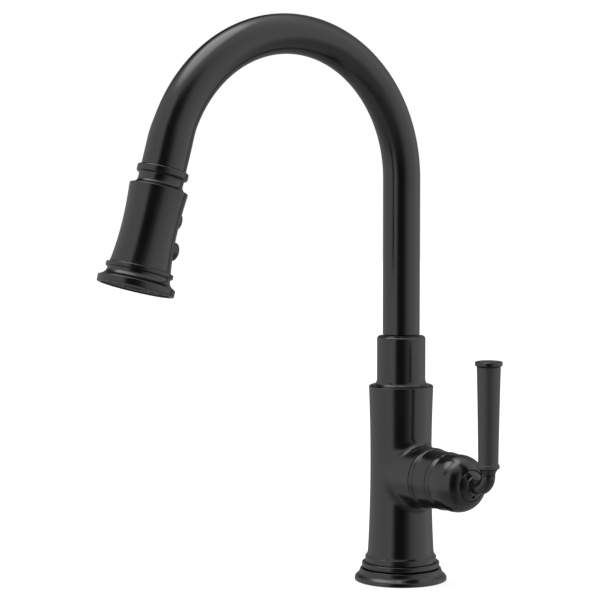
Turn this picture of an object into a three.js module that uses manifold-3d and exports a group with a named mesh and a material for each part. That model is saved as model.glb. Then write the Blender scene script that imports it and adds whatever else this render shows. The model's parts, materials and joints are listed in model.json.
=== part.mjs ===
// Pull-down kitchen faucet with a side lever. Millimetres, +Z up.
// The origin is the middle of the deck hole, on the deck's top face. The spout reaches
// along -Y, towards the user, and the lever stands on the +X side.

import * as THREE from 'three';
import { mergeVertices } from 'three/addons/utils/BufferGeometryUtils.js';
import Module from 'manifold-3d';

const wasm = await Module();
wasm.setup();

// ---------------------------------------------------------------- sizes

const gap = 0.3;                 // clearance between neighbours that touch on the real faucet
const coarse = 12;               // sides of a small or hidden round piece
const medium = 16;               // sides of a middling round piece
const fine = 20;                 // sides of the large visible turnings
const through = 40;              // length of a cutter that goes right through a small piece

// Stack on the deck: gasket, flange, bead ring, then the body.
const deckThickness = 30;
const shankRadius = 16.5;
const shankBore = 13.5;
const shankDrop = 65;            // how far the shank hangs below the deck's top face
const shankGrip = 12.9;          // how far the shank screws into the body
const gasketThickness = 1.2;
const gasketInner = 19;
const gasketOuter = 32.5;
const flangeRadius = 35;
const flangeEdge = 2;            // height of the flange's straight edge
const flangeCrown = 30.4;        // radius at the top of the flange's ogee
const flangeHeight = 9.1;
const washerThickness = 2;
const sealWasherRadius = 27;
const clampWasherRadius = 28;
const clampNutRadius = 26;
const clampNutHeight = 10;
const thrustScrewAt = 21.7;
const thrustScrewRadius = 2.3;
const thrustScrewHead = 3.9;
const thrustScrewDrop = 8.5;     // how far the screw heads hang below the nut
const beadRadius = 29.45;
const beadHeight = 4.2;
const beadRounding = 1;

// Body: plinth, cove, a waisted shaft and a rounded shoulder.
const plinthRadius = 27;
const plinthHeight = 4.5;
const coveHeight = 6.4;
const bodyFoot = 24.9;
const bodyWaist = 23.2;
const waistHeight = 90;
const bodyShoulder = 24.4;
const shoulderRounding = 0.9;
const bodyWall = 2.4;
const floorHeight = 28;          // top of the threaded floor that holds the shank

// Valve arm, measured along +X from the faucet's axis.
const valveHeight = 82;
const bodyAboveValve = 66.5;       // from the valve's axis to the top of the body
const hornRadius = 22.7;
const hornFillet = 6.5;
const hornEnd = 35;
const neckRadius = 19.4;
const neckBore = 17.8;
const neckEnd = 60;
const bandRadius = 21.3;
const bandLip = 22.8;            // the band's flared end beside the body
const bandLipLength = 8;
const bandEnd = 53.7;
const edgeRounding = 1.2;
const domeRadius = 21.5;
const domeShoulder = 66;
const domeFront = 81.9;
const domeHole = 12.4;
const domeWall = 2.9;

// Cartridge.
const blockBack = 7.5;
const blockFront = 34.3;
const socketX = 12.5;            // inlet sockets under the valve block
const socketSpread = 9.5;
const socketRadius = 5;
const socketBore = 3.8;
const socketDepth = 22;
const socketDrop = 24;           // how far the sockets reach below the valve axis
const portRadius = 2.5;
const portSpread = 7;
const portDrop = 5;
const sealThickness = 1.2;
const cartridgeRadius = 17.5;
const cartridgeStep = 54;        // the shoulder that the retaining nut presses on
const cartridgeNose = 15.4;
const cartridgeEnd = 66;
const cartridgeLip = 1.6;
const chamberRadius = 13.6;
const chamberBack = 52.7;
const discThickness = 3.7;
const slidingDiscRadius = 9.2;
const carrierFlange = 3.1;
const carrierNeck = 9.2;
const carrierNeckEnd = 74;
const nutLength = 6.7;
const nutNotches = 4;
const nutNotchWidth = 5;
const nutNotchDepth = 2.5;

// Lever: a ball on the pivot, an elbow and an upright grip.
const pivotX = 71;
const ballRadius = 14.5;
const ballWall = 2.5;
const ballCover = THREE.MathUtils.degToRad(80);
const pinRadius = 1.5;
const stemSide = 7;
const stemTip = 4.6;
const stemTipReach = 11.9;       // from the pivot back to the sliding disc
const stemTipLength = 3.9;
const stemSquareEnd = 9;         // from the pivot forward to where the stem turns round
const stemRound = 3.2;
const collarRadius = 7.2;
const collarFront = 15.2;        // from the pivot forward
const elbowRadius = 5.3;
const elbowBend = 10;
const elbowStraight = 3.5;
const elbowTop = 14.3;           // top of the elbow's flared end above the valve axis
const elbowFlare = 6.8;
const gripFoot = 7.4;
const gripTop = 8.7;
const gripTaperPower = 1.3;
const gripHeight = 89.3;         // top of the grip above the valve axis
const gripBead = 8.3;
const gripBeadBase = 15;         // underside of the grip's bead above the valve axis
const gripBeadHeight = 3;
const spigotRadius = 3.2;
const spigotLength = 14;
const capRadius = 10.05;
const capThickness = 3.5;
const capCrown = 0.6;

// Spout.
const spoutCollar = 18.35;
const spoutCollarFoot = 23.2;
const spoutCollarCove = 4.6;
const spoutCollarHeight = 37.9;
const spoutCollarRounding = 2.4;
const tubeRadius = 14;
const tubeMouth = 15.9;
const tubeWall = 1.6;
const tubeGrowth = 0.11;         // share by which the tube widens over half a turn
const tubeGrowthPower = 1.48;
const tubeSocket = 20;           // how deep the tube sits in the hub
const tubeInCollar = 28;         // how deep the tube reaches into the collar
const archRadius = 106.3;
const archCentre = 304.7;
const archTurn = THREE.MathUtils.degToRad(163.8);
const archSteps = 16;
const mouthLength = 19.7;
const swellLength = 16;          // stretch over which the tube swells to its mouth
const hubRadius = 16.4;
const hubBore = 9.5;
const hubClearance = 2.9;        // between the valve arm's bore and the hub's tail
const hubTail = 9;
const hubTailRadius = 14.7;
const ledgeHeight = 4;
const swivelBore = 17.2;
const glideHeight = 4;
const glideGroove = 1;
const sealCord = 1.25;
const clipThickness = 1.6;
const clipMouth = THREE.MathUtils.degToRad(60);

// Hose and its nut. Lengths along the spray head start where the arch ends.
const hoseRadius = 6;
const nutTop = 10;
const nutRadius = 8.2;
const nutShoulder = 32;
const nutSpigot = 6.6;
const nutEnd = 43.2;
const nutBore = 3.6;
const hoseSeat = 20;

// Dock on the end of the spout.
const dockBead = 18.2;
const dockBeadEnd = 25.2;
const dockNeck = 15.95;
const dockFoot = 17.9;
const dockEnd = 33.2;
const dockSleeve = 12;           // how far the dock's sleeve reaches up the tube
const linerWall = 3.4;
const magnetHeight = 4.7;

// Spray head.
const shellTop = 33.7;
const shellShoulder = 20.75;
const shellWaist = 19.55;
const shellWaistAt = 61;
const shellMouth = 21.6;
const shellEnd = 90.2;
const shellWall = 2.2;
const shellRounding = 1.5;
const shellHole = 8.6;
const ringBead = 23.8;
const ringBeadEnd = 94.8;
const ringCove = 22.4;
const ringRim = 27.5;
const ringRimTop = 101.4;
const ringEnd = 106.3;
const ringSleeve = 6.3;
const ringSleeveWall = 1.6;
const faceThickness = 3.1;
const faceRecess = 1.6;
const nozzleRows = [{ radius: 13, count: 8 }, { radius: 18.5, count: 14 }];
const nozzleHeight = 0.9;
const aeratorRadius = 7.7;
const inletRadius = 9.4;
const inletEnd = 46.2;
const blockRadius = 13;
const blockEnd = 86.5;

// Buttons on the side of the spray head that faces the body.
const buttonHalfWidth = 8;
const buttonHalfHeight = 6.75;
const buttonProud = 4;
const buttonTravel = 2.9;
const buttonRounding = 2;
const upperButtonAt = 52.8;
const lowerButtonAt = 73.8;
const buttonStem = 3.2;
const buttonTip = 1.2;
const buttonTipLength = 2.4;
const rockerDepth = 4;           // from the head's axis to the rocker's pin
const rockerThickness = 4;
const rockerWidth = 5;
const rockerOverhang = 3;
const rockerPin = 1;

// ---------------------------------------------------------------- finishes

const finish = (color, roughness, metalness) =>
  new THREE.MeshStandardMaterial({ color, roughness, metalness });
const black = () => finish(0x1d1d1e, 0.42, 0.3);
const brass = () => finish(0xb08d4a, 0.35, 1);
const steel = () => finish(0xa8abad, 0.3, 1);
const rubber = () => finish(0x161616, 0.85, 0);
const plastic = () => finish(0xd8d8d4, 0.5, 0);
const darkPlastic = () => finish(0x2a2a2c, 0.5, 0);
const ceramic = () => finish(0xf1efe8, 0.3, 0);

// ---------------------------------------------------------------- shape tools

const turn = Math.PI / 2;
const v2 = (radius, height) => new THREE.Vector2(radius, height);

// Joins vertices that share a place and drops the slivers that a pole leaves behind.
function weld(geometry) {
  geometry.deleteAttribute('normal');
  geometry.deleteAttribute('uv');
  const merged = mergeVertices(geometry, 1e-4);
  const index = merged.index.array;
  const kept = [];
  for (let i = 0; i < index.length; i += 3) {
    const [a, b, c] = [index[i], index[i + 1], index[i + 2]];
    if (a !== b && b !== c && c !== a) kept.push(a, b, c);
  }
  merged.setIndex(kept);
  return facingOut(merged);
}

// Turns every triangle round when the closed mesh encloses a negative volume.
function facingOut(geometry) {
  const place = geometry.attributes.position;
  const index = geometry.index.array;
  const corner = [new THREE.Vector3(), new THREE.Vector3(), new THREE.Vector3()];
  let volume = 0;
  for (let i = 0; i < index.length; i += 3) {
    corner.forEach((point, k) => point.fromBufferAttribute(place, index[i + k]));
    volume += corner[0].dot(corner[1].clone().cross(corner[2]));
  }
  if (volume < 0) {
    for (let i = 0; i < index.length; i += 3) [index[i], index[i + 1]] = [index[i + 1], index[i]];
  }
  return geometry;
}

function solid(geometry) {
  const { position } = geometry.attributes;
  return new wasm.Manifold(new wasm.Mesh({
    numProp: 3,
    vertProperties: Float32Array.from(position.array),
    triVerts: Uint32Array.from(geometry.index.array),
  }));
}

function geometryOf(body) {
  const mesh = body.getMesh();
  const geometry = new THREE.BufferGeometry();
  geometry.setAttribute('position', new THREE.BufferAttribute(mesh.vertProperties, 3));
  geometry.setIndex(Array.from(mesh.triVerts));
  return geometry;
}

const cut = (geometry, ...tools) =>
  geometryOf(tools.reduce((body, tool) => body.subtract(solid(tool)), solid(geometry)));
const join = (...parts) => geometryOf(parts.map(solid).reduce((body, part) => body.add(part)));

// A turning about +Z from a closed outline of (radius, height) points.
function turned(points, sides) {
  const outline = [...points, points[0]].map(([radius, height]) => v2(radius, height));
  return weld(new THREE.LatheGeometry(outline, sides).rotateX(turn));
}

const ringOf = (inner, outer, bottom, top, sides = coarse) =>
  turned([[inner, bottom], [outer, bottom], [outer, top], [inner, top]], sides);
const rod = (radius, bottom, top, sides = coarse) =>
  weld(new THREE.CylinderGeometry(radius, radius, top - bottom, sides)
    .rotateX(turn).translate(0, 0, (top + bottom) / 2));
const box = (width, depth, height) => weld(new THREE.BoxGeometry(width, depth, height));

// Points of a quarter round from one (radius, height) to another, bulging to the corner.
function quarter(from, corner, to, count = 2) {
  const curve = new THREE.QuadraticBezierCurve(v2(...from), v2(...corner), v2(...to));
  return curve.getPoints(count).map((point) => [point.x, point.y]);
}

// Side of a shaft that narrows from its foot to its waist and widens again to its top.
function waistedSide(foot, footAt, waist, waistAt, top, topAt, count = 4) {
  const side = [];
  for (let i = 0; i <= 2 * count; i++) {
    const low = i <= count;
    const share = low ? 1 - i / count : i / count - 1;
    const end = low ? foot : top;
    const endAt = low ? footAt : topAt;
    side.push([waist + (end - waist) * share * share, waistAt + (endAt - waistAt) * share]);
  }
  return side;
}

const radiusOn = (side, height) => {
  const next = Math.max(1, side.findIndex(([, at]) => at >= height));
  const [[lowRadius, low], [highRadius, high]] = [side[next - 1], side[next]];
  return lowRadius + (highRadius - lowRadius) * (height - low) / (high - low);
};

// Closes a row of rings, each the same number of points, into one skin. A solid skin gets
// two end caps, and a closed row joins its last ring to its first.
function skin(rings, closedRow) {
  const count = rings[0].length;
  const points = rings.flat();
  const index = [];
  const rows = closedRow ? rings.length : rings.length - 1;
  for (let row = 0; row < rows; row++) {
    for (let i = 0; i < count; i++) {
      const a = row * count + i;
      const b = row * count + (i + 1) % count;
      const c = (a + count) % points.length;
      const d = (b + count) % points.length;
      index.push(a, b, d, a, d, c);
    }
  }
  if (!closedRow) {
    const last = (rings.length - 1) * count;
    for (let i = 1; i < count - 1; i++) index.push(0, i + 1, i, last, last + i, last + i + 1);
  }
  const geometry = new THREE.BufferGeometry().setFromPoints(points);
  geometry.setIndex(index);
  return facingOut(geometry);
}

// One ring of a tube that runs in the plane x = 0.
function tubeRing({ centre, along, radius }, sides) {
  const across = new THREE.Vector3(1, 0, 0);
  const out = across.clone().cross(along);
  return Array.from({ length: sides }, (_, i) => {
    const angle = 2 * Math.PI * i / sides;
    return centre.clone().addScaledVector(across, radius * Math.cos(angle))
      .addScaledVector(out, radius * Math.sin(angle));
  });
}

const model = new THREE.Group();
function piece(group, name, geometry, material) {
  const mesh = new THREE.Mesh(geometry, material);
  mesh.name = name;
  group.add(mesh);
}

// ---------------------------------------------------------------- heights that follow

const bodyTop = valveHeight + bodyAboveValve;
const beadBase = flangeHeight + gap;
const bodyBase = beadBase + beadHeight + gap;
const plinthTop = bodyBase + plinthHeight;
const shaftBase = plinthTop + coveHeight;
const stackBore = shankRadius + gap;
const cavityRadius = bodyWaist - bodyWall;
const hubBottom = valveHeight + neckBore + hubClearance + hubTail + gap;
const ledgeBottom = hubBottom - gap - ledgeHeight;
const collarBase = bodyTop + gap;
const collarTop = collarBase + spoutCollarHeight;
const tubeFoot = collarTop - tubeInCollar;
const shankTop = bodyBase + shankGrip;
const leverReach = pivotX + collarFront + elbowStraight + elbowBend;

// ---------------------------------------------------------------- deck stack

function deckStack(group) {
  const gasket = ringOf(gasketInner, gasketOuter, 0, gasketThickness, fine);
  piece(group, 'deck_gasket', gasket, rubber());

  const recess = gasketThickness + gap;
  const ogeeRadius = (flangeRadius + flangeCrown) / 2 - 1.1;
  const flange = turned([
    [gasketOuter + gap, 0], [flangeRadius - 0.5, 0], [flangeRadius, 0.6], [flangeRadius, flangeEdge],
    ...quarter([flangeRadius - 0.4, flangeEdge + 0.6], [ogeeRadius, flangeEdge + 2.2],
      [ogeeRadius - 0.2, flangeHeight - 3.3]),
    [flangeCrown + 0.5, flangeHeight - 1.4], [flangeCrown, flangeHeight - 0.5],
    [flangeCrown - 0.6, flangeHeight], [stackBore, flangeHeight], [stackBore, recess],
    [gasketOuter + gap, recess],
  ], fine);
  piece(group, 'base_flange', flange, black());

  const beadTop = beadBase + beadHeight;
  const bead = turned([
    [stackBore, beadBase], [beadRadius - beadRounding, beadBase],
    ...quarter([beadRadius - 0.6, beadBase + 0.2], [beadRadius, beadBase + 0.3],
      [beadRadius, beadBase + beadRounding], 2),
    ...quarter([beadRadius, beadTop - beadRounding], [beadRadius, beadTop],
      [beadRadius - beadRounding, beadTop]),
    [stackBore, beadTop],
  ], fine);
  piece(group, 'bead_ring', bead, black());

  const shank = ringOf(shankBore, shankRadius, -shankDrop, shankTop, coarse);
  piece(group, 'threaded_shank', shank, brass());

  const sealBottom = -deckThickness - washerThickness;
  const washerTop = sealBottom - gap;
  const washerBottom = washerTop - washerThickness;
  const nutUpper = washerBottom - gap;
  const nutLower = nutUpper - clampNutHeight;
  const sealWasher = ringOf(stackBore, sealWasherRadius, sealBottom, -deckThickness);
  piece(group, 'deck_seal_washer', sealWasher, rubber());
  const clampWasher = ringOf(stackBore, clampWasherRadius, washerBottom, washerTop);
  piece(group, 'mounting_washer', clampWasher, steel());
  const screwHoles = [-1, 1].map((side) =>
    rod(thrustScrewRadius + gap, nutLower - 1, nutUpper + 1, 8).translate(0, side * thrustScrewAt, 0));
  const nut = cut(ringOf(stackBore, clampNutRadius, nutLower, nutUpper), ...screwHoles);
  piece(group, 'mounting_nut', nut, brass());
  for (const [name, side] of [['front', -1], ['rear', 1]]) {
    const headTop = nutLower - thrustScrewDrop + 3.5;
    const screw = join(
      rod(thrustScrewRadius, headTop, nutUpper, 8),
      rod(thrustScrewHead, nutLower - thrustScrewDrop, headTop, 6),
    ).translate(0, side * thrustScrewAt, 0);
    piece(group, `thrust_screw_${name}`, screw, steel());
  }
}

// ---------------------------------------------------------------- body

// Root of the valve arm. Its first rings hug the shaft and spread above and below it in a
// fillet, and its last ring is the round, flat seam of the trim band.
function hornRoot() {
  const sides = fine;
  const onShaft = (y) => Math.sqrt(Math.max(0, bodyWaist ** 2 - y ** 2));
  const steps = [-4, 0, 0.4, 1.4, 3.2, hornFillet];
  const ringAt = (distance) => Array.from({ length: sides }, (_, i) => {
    const angle = 2 * Math.PI * i / sides;
    const rise = Math.max(0, hornFillet - Math.max(distance, 0));
    const spread = hornFillet - Math.sqrt(hornFillet ** 2 - rise ** 2);
    const y = hornRadius * Math.cos(angle);
    const z = (hornRadius + spread) * Math.sin(angle);
    return new THREE.Vector3(onShaft(y) + distance, y, valveHeight + z);
  });
  const flatRing = (x, radius) => Array.from({ length: sides }, (_, i) => {
    const angle = 2 * Math.PI * i / sides;
    return new THREE.Vector3(x, radius * Math.cos(angle), valveHeight + radius * Math.sin(angle));
  });
  const rounding = edgeRounding / 2;
  return skin([
    ...steps.map(ringAt),
    flatRing(hornEnd - rounding, hornRadius),
    flatRing(hornEnd, hornRadius - rounding),
  ], false);
}

const shaftSide = waistedSide(
  bodyFoot, shaftBase, bodyWaist, waistHeight, bodyShoulder, bodyTop - shoulderRounding);

function bodyShell(group) {
  const shaft = turned([
    [stackBore, bodyBase], [plinthRadius - 0.4, bodyBase], [plinthRadius, bodyBase + 0.4],
    [plinthRadius, plinthTop - 0.3],
    ...quarter([plinthRadius - 0.4, plinthTop], [bodyFoot + 0.7, plinthTop + 1.4], shaftSide[0], 3),
    ...shaftSide.slice(1),
    ...quarter([bodyShoulder, bodyTop - shoulderRounding + 0.2], [bodyShoulder, bodyTop],
      [bodyShoulder - shoulderRounding, bodyTop]),
    [swivelBore, bodyTop], [swivelBore, hubBottom - gap], [hubTailRadius + gap, hubBottom - gap],
    [hubTailRadius + gap, ledgeBottom], [cavityRadius, ledgeBottom], [cavityRadius, floorHeight],
    [stackBore, floorHeight],
  ], fine);
  const onArm = (geometry) => geometry.rotateY(turn).translate(0, 0, valveHeight);
  const neck = onArm(rod(neckRadius, hornEnd - 2, neckEnd, fine));
  const armBore = onArm(rod(neckBore, blockBack - 2, neckEnd + 1, fine));
  const cavity = rod(cavityRadius, floorHeight, ledgeBottom, fine);
  const shell = solid(shaft).add(solid(hornRoot())).add(solid(neck))
    .subtract(solid(armBore)).subtract(solid(cavity));
  piece(group, 'body_shell', geometryOf(shell), black());
}

// ---------------------------------------------------------------- valve arm

// Everything here is turned about the arm's own axis, which the group lays along +X.
function portHoles(bottom, top, radius) {
  return [[portSpread, portDrop], [-portSpread, portDrop], [0, -portDrop]].map(([y, x]) =>
    rod(radius, bottom, top, 8).translate(x, y, 0));
}

function valveArm(group) {
  const bandStart = hornEnd + gap;
  const band = turned([
    [neckRadius + gap, bandStart], [bandLip - 0.8, bandStart],
    ...quarter([bandLip - 0.3, bandStart + 0.2], [bandLip, bandStart + 0.4],
      [bandLip, bandStart + 1.6], 2),
    ...quarter([bandLip - 0.1, bandStart + 2.6], [bandRadius + 0.3, bandStart + 4.6],
      [bandRadius, bandStart + bandLipLength], 3),
    [bandRadius, bandEnd - 0.4], [bandRadius - 0.4, bandEnd], [neckRadius + gap, bandEnd],
  ], fine);
  piece(group, 'trim_band', band, black());

  const domeStart = bandEnd + gap;
  const front = new THREE.CubicBezierCurve(
    v2(domeRadius, domeShoulder), v2(domeRadius, domeShoulder + 7.5),
    v2(domeHole + 5.8, domeFront - 2.1), v2(domeHole + 0.3, domeFront),
  ).getPoints(6).map((point) => [point.x, point.y]);
  const inside = new THREE.CubicBezierCurve(
    v2(domeRadius - domeWall, domeShoulder), v2(domeRadius - domeWall, domeShoulder + 5.5),
    v2(domeHole + 3.7, domeFront - 6.5), v2(domeHole, domeFront - 2.6),
  ).getPoints(4).map((point) => [point.x, point.y]);
  const dome = turned([
    [neckRadius + gap, domeStart], [domeRadius - 0.3 - edgeRounding, domeStart],
    ...quarter([domeRadius - 1, domeStart + 0.15], [domeRadius - 0.3, domeStart + 0.4],
      [domeRadius - 0.3, domeStart + edgeRounding], 2),
    ...front, [domeHole, domeFront - 0.4], ...inside.reverse(),
    [domeRadius - domeWall, neckEnd + 1.3], [neckRadius + gap, neckEnd + 1.3],
  ], fine);
  piece(group, 'bonnet_dome', dome, black());

  // The block plugs the arm's bore. Three sockets on its underside take the water hoses.
  const down = (geometry) => geometry.rotateY(turn);
  const socketPlaces = [-socketSpread, 0, socketSpread];
  const socketPart = (radius, bottom, top, y, sides) =>
    down(rod(radius, bottom, top, sides)).translate(0, y, socketX);
  const bosses = socketPlaces.map((y) =>
    socketPart(y === 0 ? socketRadius - gap - 0.8 : socketRadius, 0, socketDrop, y, coarse));
  const sockets = socketPlaces.map((y) =>
    socketPart(y === 0 ? socketBore - 1 : socketBore, socketDrop - socketDepth, socketDrop + 1, y, 8));
  const plug = rod(neckBore - gap, blockBack, blockFront, coarse);
  const withinCavity = rod(cavityRadius - gap, -2 * socketDrop, 2 * socketDrop, fine).rotateY(turn);
  const rear = solid(join(plug, ...bosses)).intersect(solid(withinCavity));
  const plugged = rear.add(solid(plug));
  const block = [...sockets, ...portHoles(socketX, blockFront + 1, portRadius)]
    .reduce((body, tool) => body.subtract(solid(tool)), plugged);
  piece(group, 'valve_block', geometryOf(block), brass());

  const sealBack = blockFront + gap;
  const sealFront = sealBack + sealThickness;
  const seal = cut(rod(neckBore - 1, sealBack, sealFront, coarse),
    ...portHoles(sealBack - 1, sealFront + 1, portRadius + 0.4));
  piece(group, 'cartridge_seal', seal, rubber());

  const caseBack = sealFront + gap;
  const shellOutline = [
    [0, caseBack], [cartridgeRadius, caseBack], [cartridgeRadius, cartridgeStep],
    [cartridgeNose, cartridgeStep], [cartridgeNose, cartridgeEnd],
    [chamberRadius - 1.3, cartridgeEnd], [chamberRadius - 1.3, cartridgeEnd - cartridgeLip],
    [chamberRadius, cartridgeEnd - cartridgeLip], [chamberRadius, chamberBack], [0, chamberBack],
  ];
  const housing = cut(turned(shellOutline, fine),
    ...portHoles(caseBack - 1, chamberBack + 1, portRadius));
  piece(group, 'cartridge_housing', housing, plastic());

  const fixedBack = chamberBack + gap;
  const fixedFront = fixedBack + discThickness;
  const fixedDisc = cut(rod(chamberRadius - gap, fixedBack, fixedFront, coarse),
    ...portHoles(fixedBack - 1, fixedFront + 1, portRadius));
  piece(group, 'fixed_disc', fixedDisc, ceramic());

  // The sliding disc holds the stem's tip in a pocket that is open towards the lever.
  const slideBack = fixedFront + gap;
  const slideFront = slideBack + discThickness;
  const tipBack = pivotX - stemTipReach;
  const pocket = box(stemTip + 1.8, stemTip + 0.8, 10).translate(0, 0, tipBack - 0.5 + 5);
  const slidingDisc = cut(rod(slidingDiscRadius, slideBack, slideFront, coarse), pocket);
  piece(group, 'sliding_disc', slidingDisc, ceramic());

  // The carrier turns with the lever and carries the pin that the stem rocks on.
  const carrierBack = slideFront + gap;
  const flange = rod(chamberRadius - gap, carrierBack, carrierBack + carrierFlange, coarse);
  const neck = rod(carrierNeck, carrierBack, carrierNeckEnd, coarse);
  const slotLow = stemSide / 2 + 1.9;
  const slotHigh = stemSide / 2 + 3.9;
  const slot = box(slotLow + slotHigh, stemSide + 2 * gap, through)
    .translate((slotLow - slotHigh) / 2, 0, pivotX);
  const pinHole = rod(pinRadius + gap, -through / 2, through / 2)
    .rotateX(turn).translate(0, 0, pivotX);
  piece(group, 'cartridge_carrier', cut(join(flange, neck), slot, pinHole), darkPlastic());
  const pin = rod(pinRadius, gap - carrierNeck, carrierNeck - gap, 12)
    .rotateX(turn).translate(0, 0, pivotX);
  piece(group, 'pivot_pin', pin, steel());

  const tip = box(stemTip, stemTip, stemTipLength + 1)
    .translate(0, 0, tipBack + (stemTipLength + 1) / 2);
  const squareBack = tipBack + stemTipLength;
  const squareFront = pivotX + stemSquareEnd;
  const square = box(stemSide, stemSide, squareFront - squareBack)
    .translate(0, 0, (squareFront + squareBack) / 2);
  const roundEnd = rod(stemRound, squareFront - 1, leverReach - elbowBend + 3.3, 16);
  piece(group, 'valve_stem', cut(join(tip, square, roundEnd), pinHole), brass());

  // Castellated nut that holds the cartridge down on its seal.
  const nutBack = cartridgeStep + gap;
  const nutFront = nutBack + nutLength;
  const notches = Array.from({ length: nutNotches }, (_, i) =>
    box(2 * cartridgeRadius, nutNotchWidth, nutNotchDepth + 1)
      .translate(cartridgeRadius, 0, nutFront - nutNotchDepth / 2 + 0.5)
      .rotateZ(2 * Math.PI * i / nutNotches));
  const nutRing = ringOf(cartridgeNose + gap, neckBore - gap, nutBack, nutFront, fine);
  piece(group, 'retaining_nut', cut(nutRing, ...notches), brass());
}

// ---------------------------------------------------------------- lever

function lever(group) {
  // Ball, collar and elbow are one casting. The ball is a hollow cap round the pivot.
  const ballArc = (radius, from, to, count) => Array.from({ length: count + 1 }, (_, i) => {
    const angle = from + (to - from) * i / count;
    return [radius * Math.sin(angle), pivotX + radius * Math.cos(angle)];
  });
  const collarBack = Math.asin(collarRadius / ballRadius);
  const cap = turned([
    [0, pivotX + collarFront], [collarRadius - 0.5, pivotX + collarFront],
    [collarRadius, pivotX + collarFront - 0.5],
    ...ballArc(ballRadius, collarBack, ballCover, 5),
    ...ballArc(ballRadius - ballWall, ballCover, 0, 4),
  ], fine).rotateY(turn);

  const bendCentre = new THREE.Vector3(leverReach - elbowBend, 0, elbowBend);
  const section = (centre, along, radius = elbowRadius) => {
    const across = new THREE.Vector3(0, 1, 0);
    const out = across.clone().cross(along);
    return Array.from({ length: coarse }, (_, i) => {
      const angle = 2 * Math.PI * i / coarse;
      return centre.clone().addScaledVector(across, radius * Math.cos(angle))
        .addScaledVector(out, radius * Math.sin(angle));
    });
  };
  const straight = section(new THREE.Vector3(pivotX + collarFront - 2, 0, 0), new THREE.Vector3(1, 0, 0));
  const bend = Array.from({ length: 7 }, (_, i) => {
    const angle = turn * i / 6;
    const along = new THREE.Vector3(Math.cos(angle), 0, Math.sin(angle));
    const away = new THREE.Vector3(Math.sin(angle), 0, -Math.cos(angle));
    return section(bendCentre.clone().addScaledVector(away, elbowBend), along);
  });
  const up = new THREE.Vector3(0, 0, 1);
  const flare = [[elbowBend + 1, elbowRadius], [elbowTop, elbowFlare]].map(([height, radius]) =>
    section(new THREE.Vector3(leverReach, 0, height), up, radius));
  const elbow = skin([straight, ...bend, ...flare], false);
  const spigot = rod(spigotRadius, elbowTop - 0.5, elbowTop + spigotLength, 16)
    .translate(leverReach, 0, 0);
  const stemSocket = rod(stemRound + gap, pivotX, leverReach - elbowBend + 3.6, 16).rotateY(turn);
  const screwX = pivotX + collarFront - 1.4;
  const screwHole = rod(pinRadius, -through / 2, 0).translate(screwX, 0, 0);
  piece(group, 'lever_elbow', cut(join(cap, elbow, spigot), stemSocket, screwHole), black());
  const screw = rod(pinRadius - 0.2, -collarRadius + 0.5, -stemRound - gap, 12).translate(screwX, 0, 0);
  piece(group, 'lever_set_screw', screw, steel());

  const upright = new THREE.Group();
  upright.position.set(leverReach, 0, 0);
  group.add(upright);
  const beadTop = gripBeadBase + gripBeadHeight;
  const taper = Array.from({ length: 6 }, (_, i) => {
    const share = i / 5;
    const radius = gripFoot + (gripTop - gripFoot) * share ** gripTaperPower;
    return [radius, beadTop + 0.7 + (gripHeight - beadTop - 0.7) * share];
  });
  const gripBase = elbowTop + gap;
  const boreDepth = elbowTop + spigotLength + 1;
  const capBore = gripHeight - spigotLength;
  const grip = turned([
    [spigotRadius + gap, gripBase], [elbowFlare, gripBase],
    [gripBead - 0.6, gripBeadBase], [gripBead, gripBeadBase + 0.7],
    [gripBead, beadTop - 0.6], [gripBead - 0.5, beadTop],
    ...taper,
    [spigotRadius + gap, gripHeight], [spigotRadius + gap, capBore], [0, capBore],
    [0, boreDepth], [spigotRadius + gap, boreDepth],
  ], medium);
  piece(upright, 'lever_grip', grip, black());

  const capBase = gripHeight + gap;
  const capTop = capBase + capThickness;
  const endCap = turned([
    [0, capBore + 1], [spigotRadius, capBore + 1], [spigotRadius, capBase], [capRadius - 0.8, capBase],
    ...quarter([capRadius - 0.2, capBase + 0.4], [capRadius, capBase + 0.5], [capRadius, capBase + 1.2], 2),
    ...quarter([capRadius, capTop - 1.2], [capRadius, capTop - 0.3], [capRadius - 1, capTop]),
    [capRadius * 0.5, capTop + capCrown * 0.75], [0, capTop + capCrown],
  ], medium);
  piece(upright, 'lever_end_cap', endCap, black());
}

// ---------------------------------------------------------------- spout

// Stations along the spout's middle line, from a height on its upright leg to a length past
// the end of the arch.
function spoutLine(footHeight, past, radiusAt, stepCount) {
  const up = new THREE.Vector3(0, 0, 1);
  const stations = [footHeight, archCentre].map((height) => ({
    centre: new THREE.Vector3(0, 0, height), along: up, radius: radiusAt(0, height - archCentre),
  }));
  for (let i = 1; i <= stepCount; i++) {
    const angle = archTurn * i / stepCount;
    stations.push({
      centre: new THREE.Vector3(
        0, archRadius * (Math.cos(angle) - 1), archCentre + archRadius * Math.sin(angle)),
      along: new THREE.Vector3(0, -Math.sin(angle), Math.cos(angle)),
      radius: radiusAt(angle, 0),
    });
  }
  const end = stations.at(-1);
  stations.push({
    centre: end.centre.clone().addScaledVector(end.along, past),
    along: end.along,
    radius: radiusAt(archTurn, past),
  });
  return stations;
}

function tubeOuter(angle, past) {
  const grown = tubeRadius * (1 + tubeGrowth * (angle / Math.PI) ** tubeGrowthPower);
  const before = (archTurn - angle) * archRadius;
  if (past > 0) return tubeMouth;
  return grown + (tubeMouth - grown) * THREE.MathUtils.smoothstep(swellLength - before, 0, swellLength);
}

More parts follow.
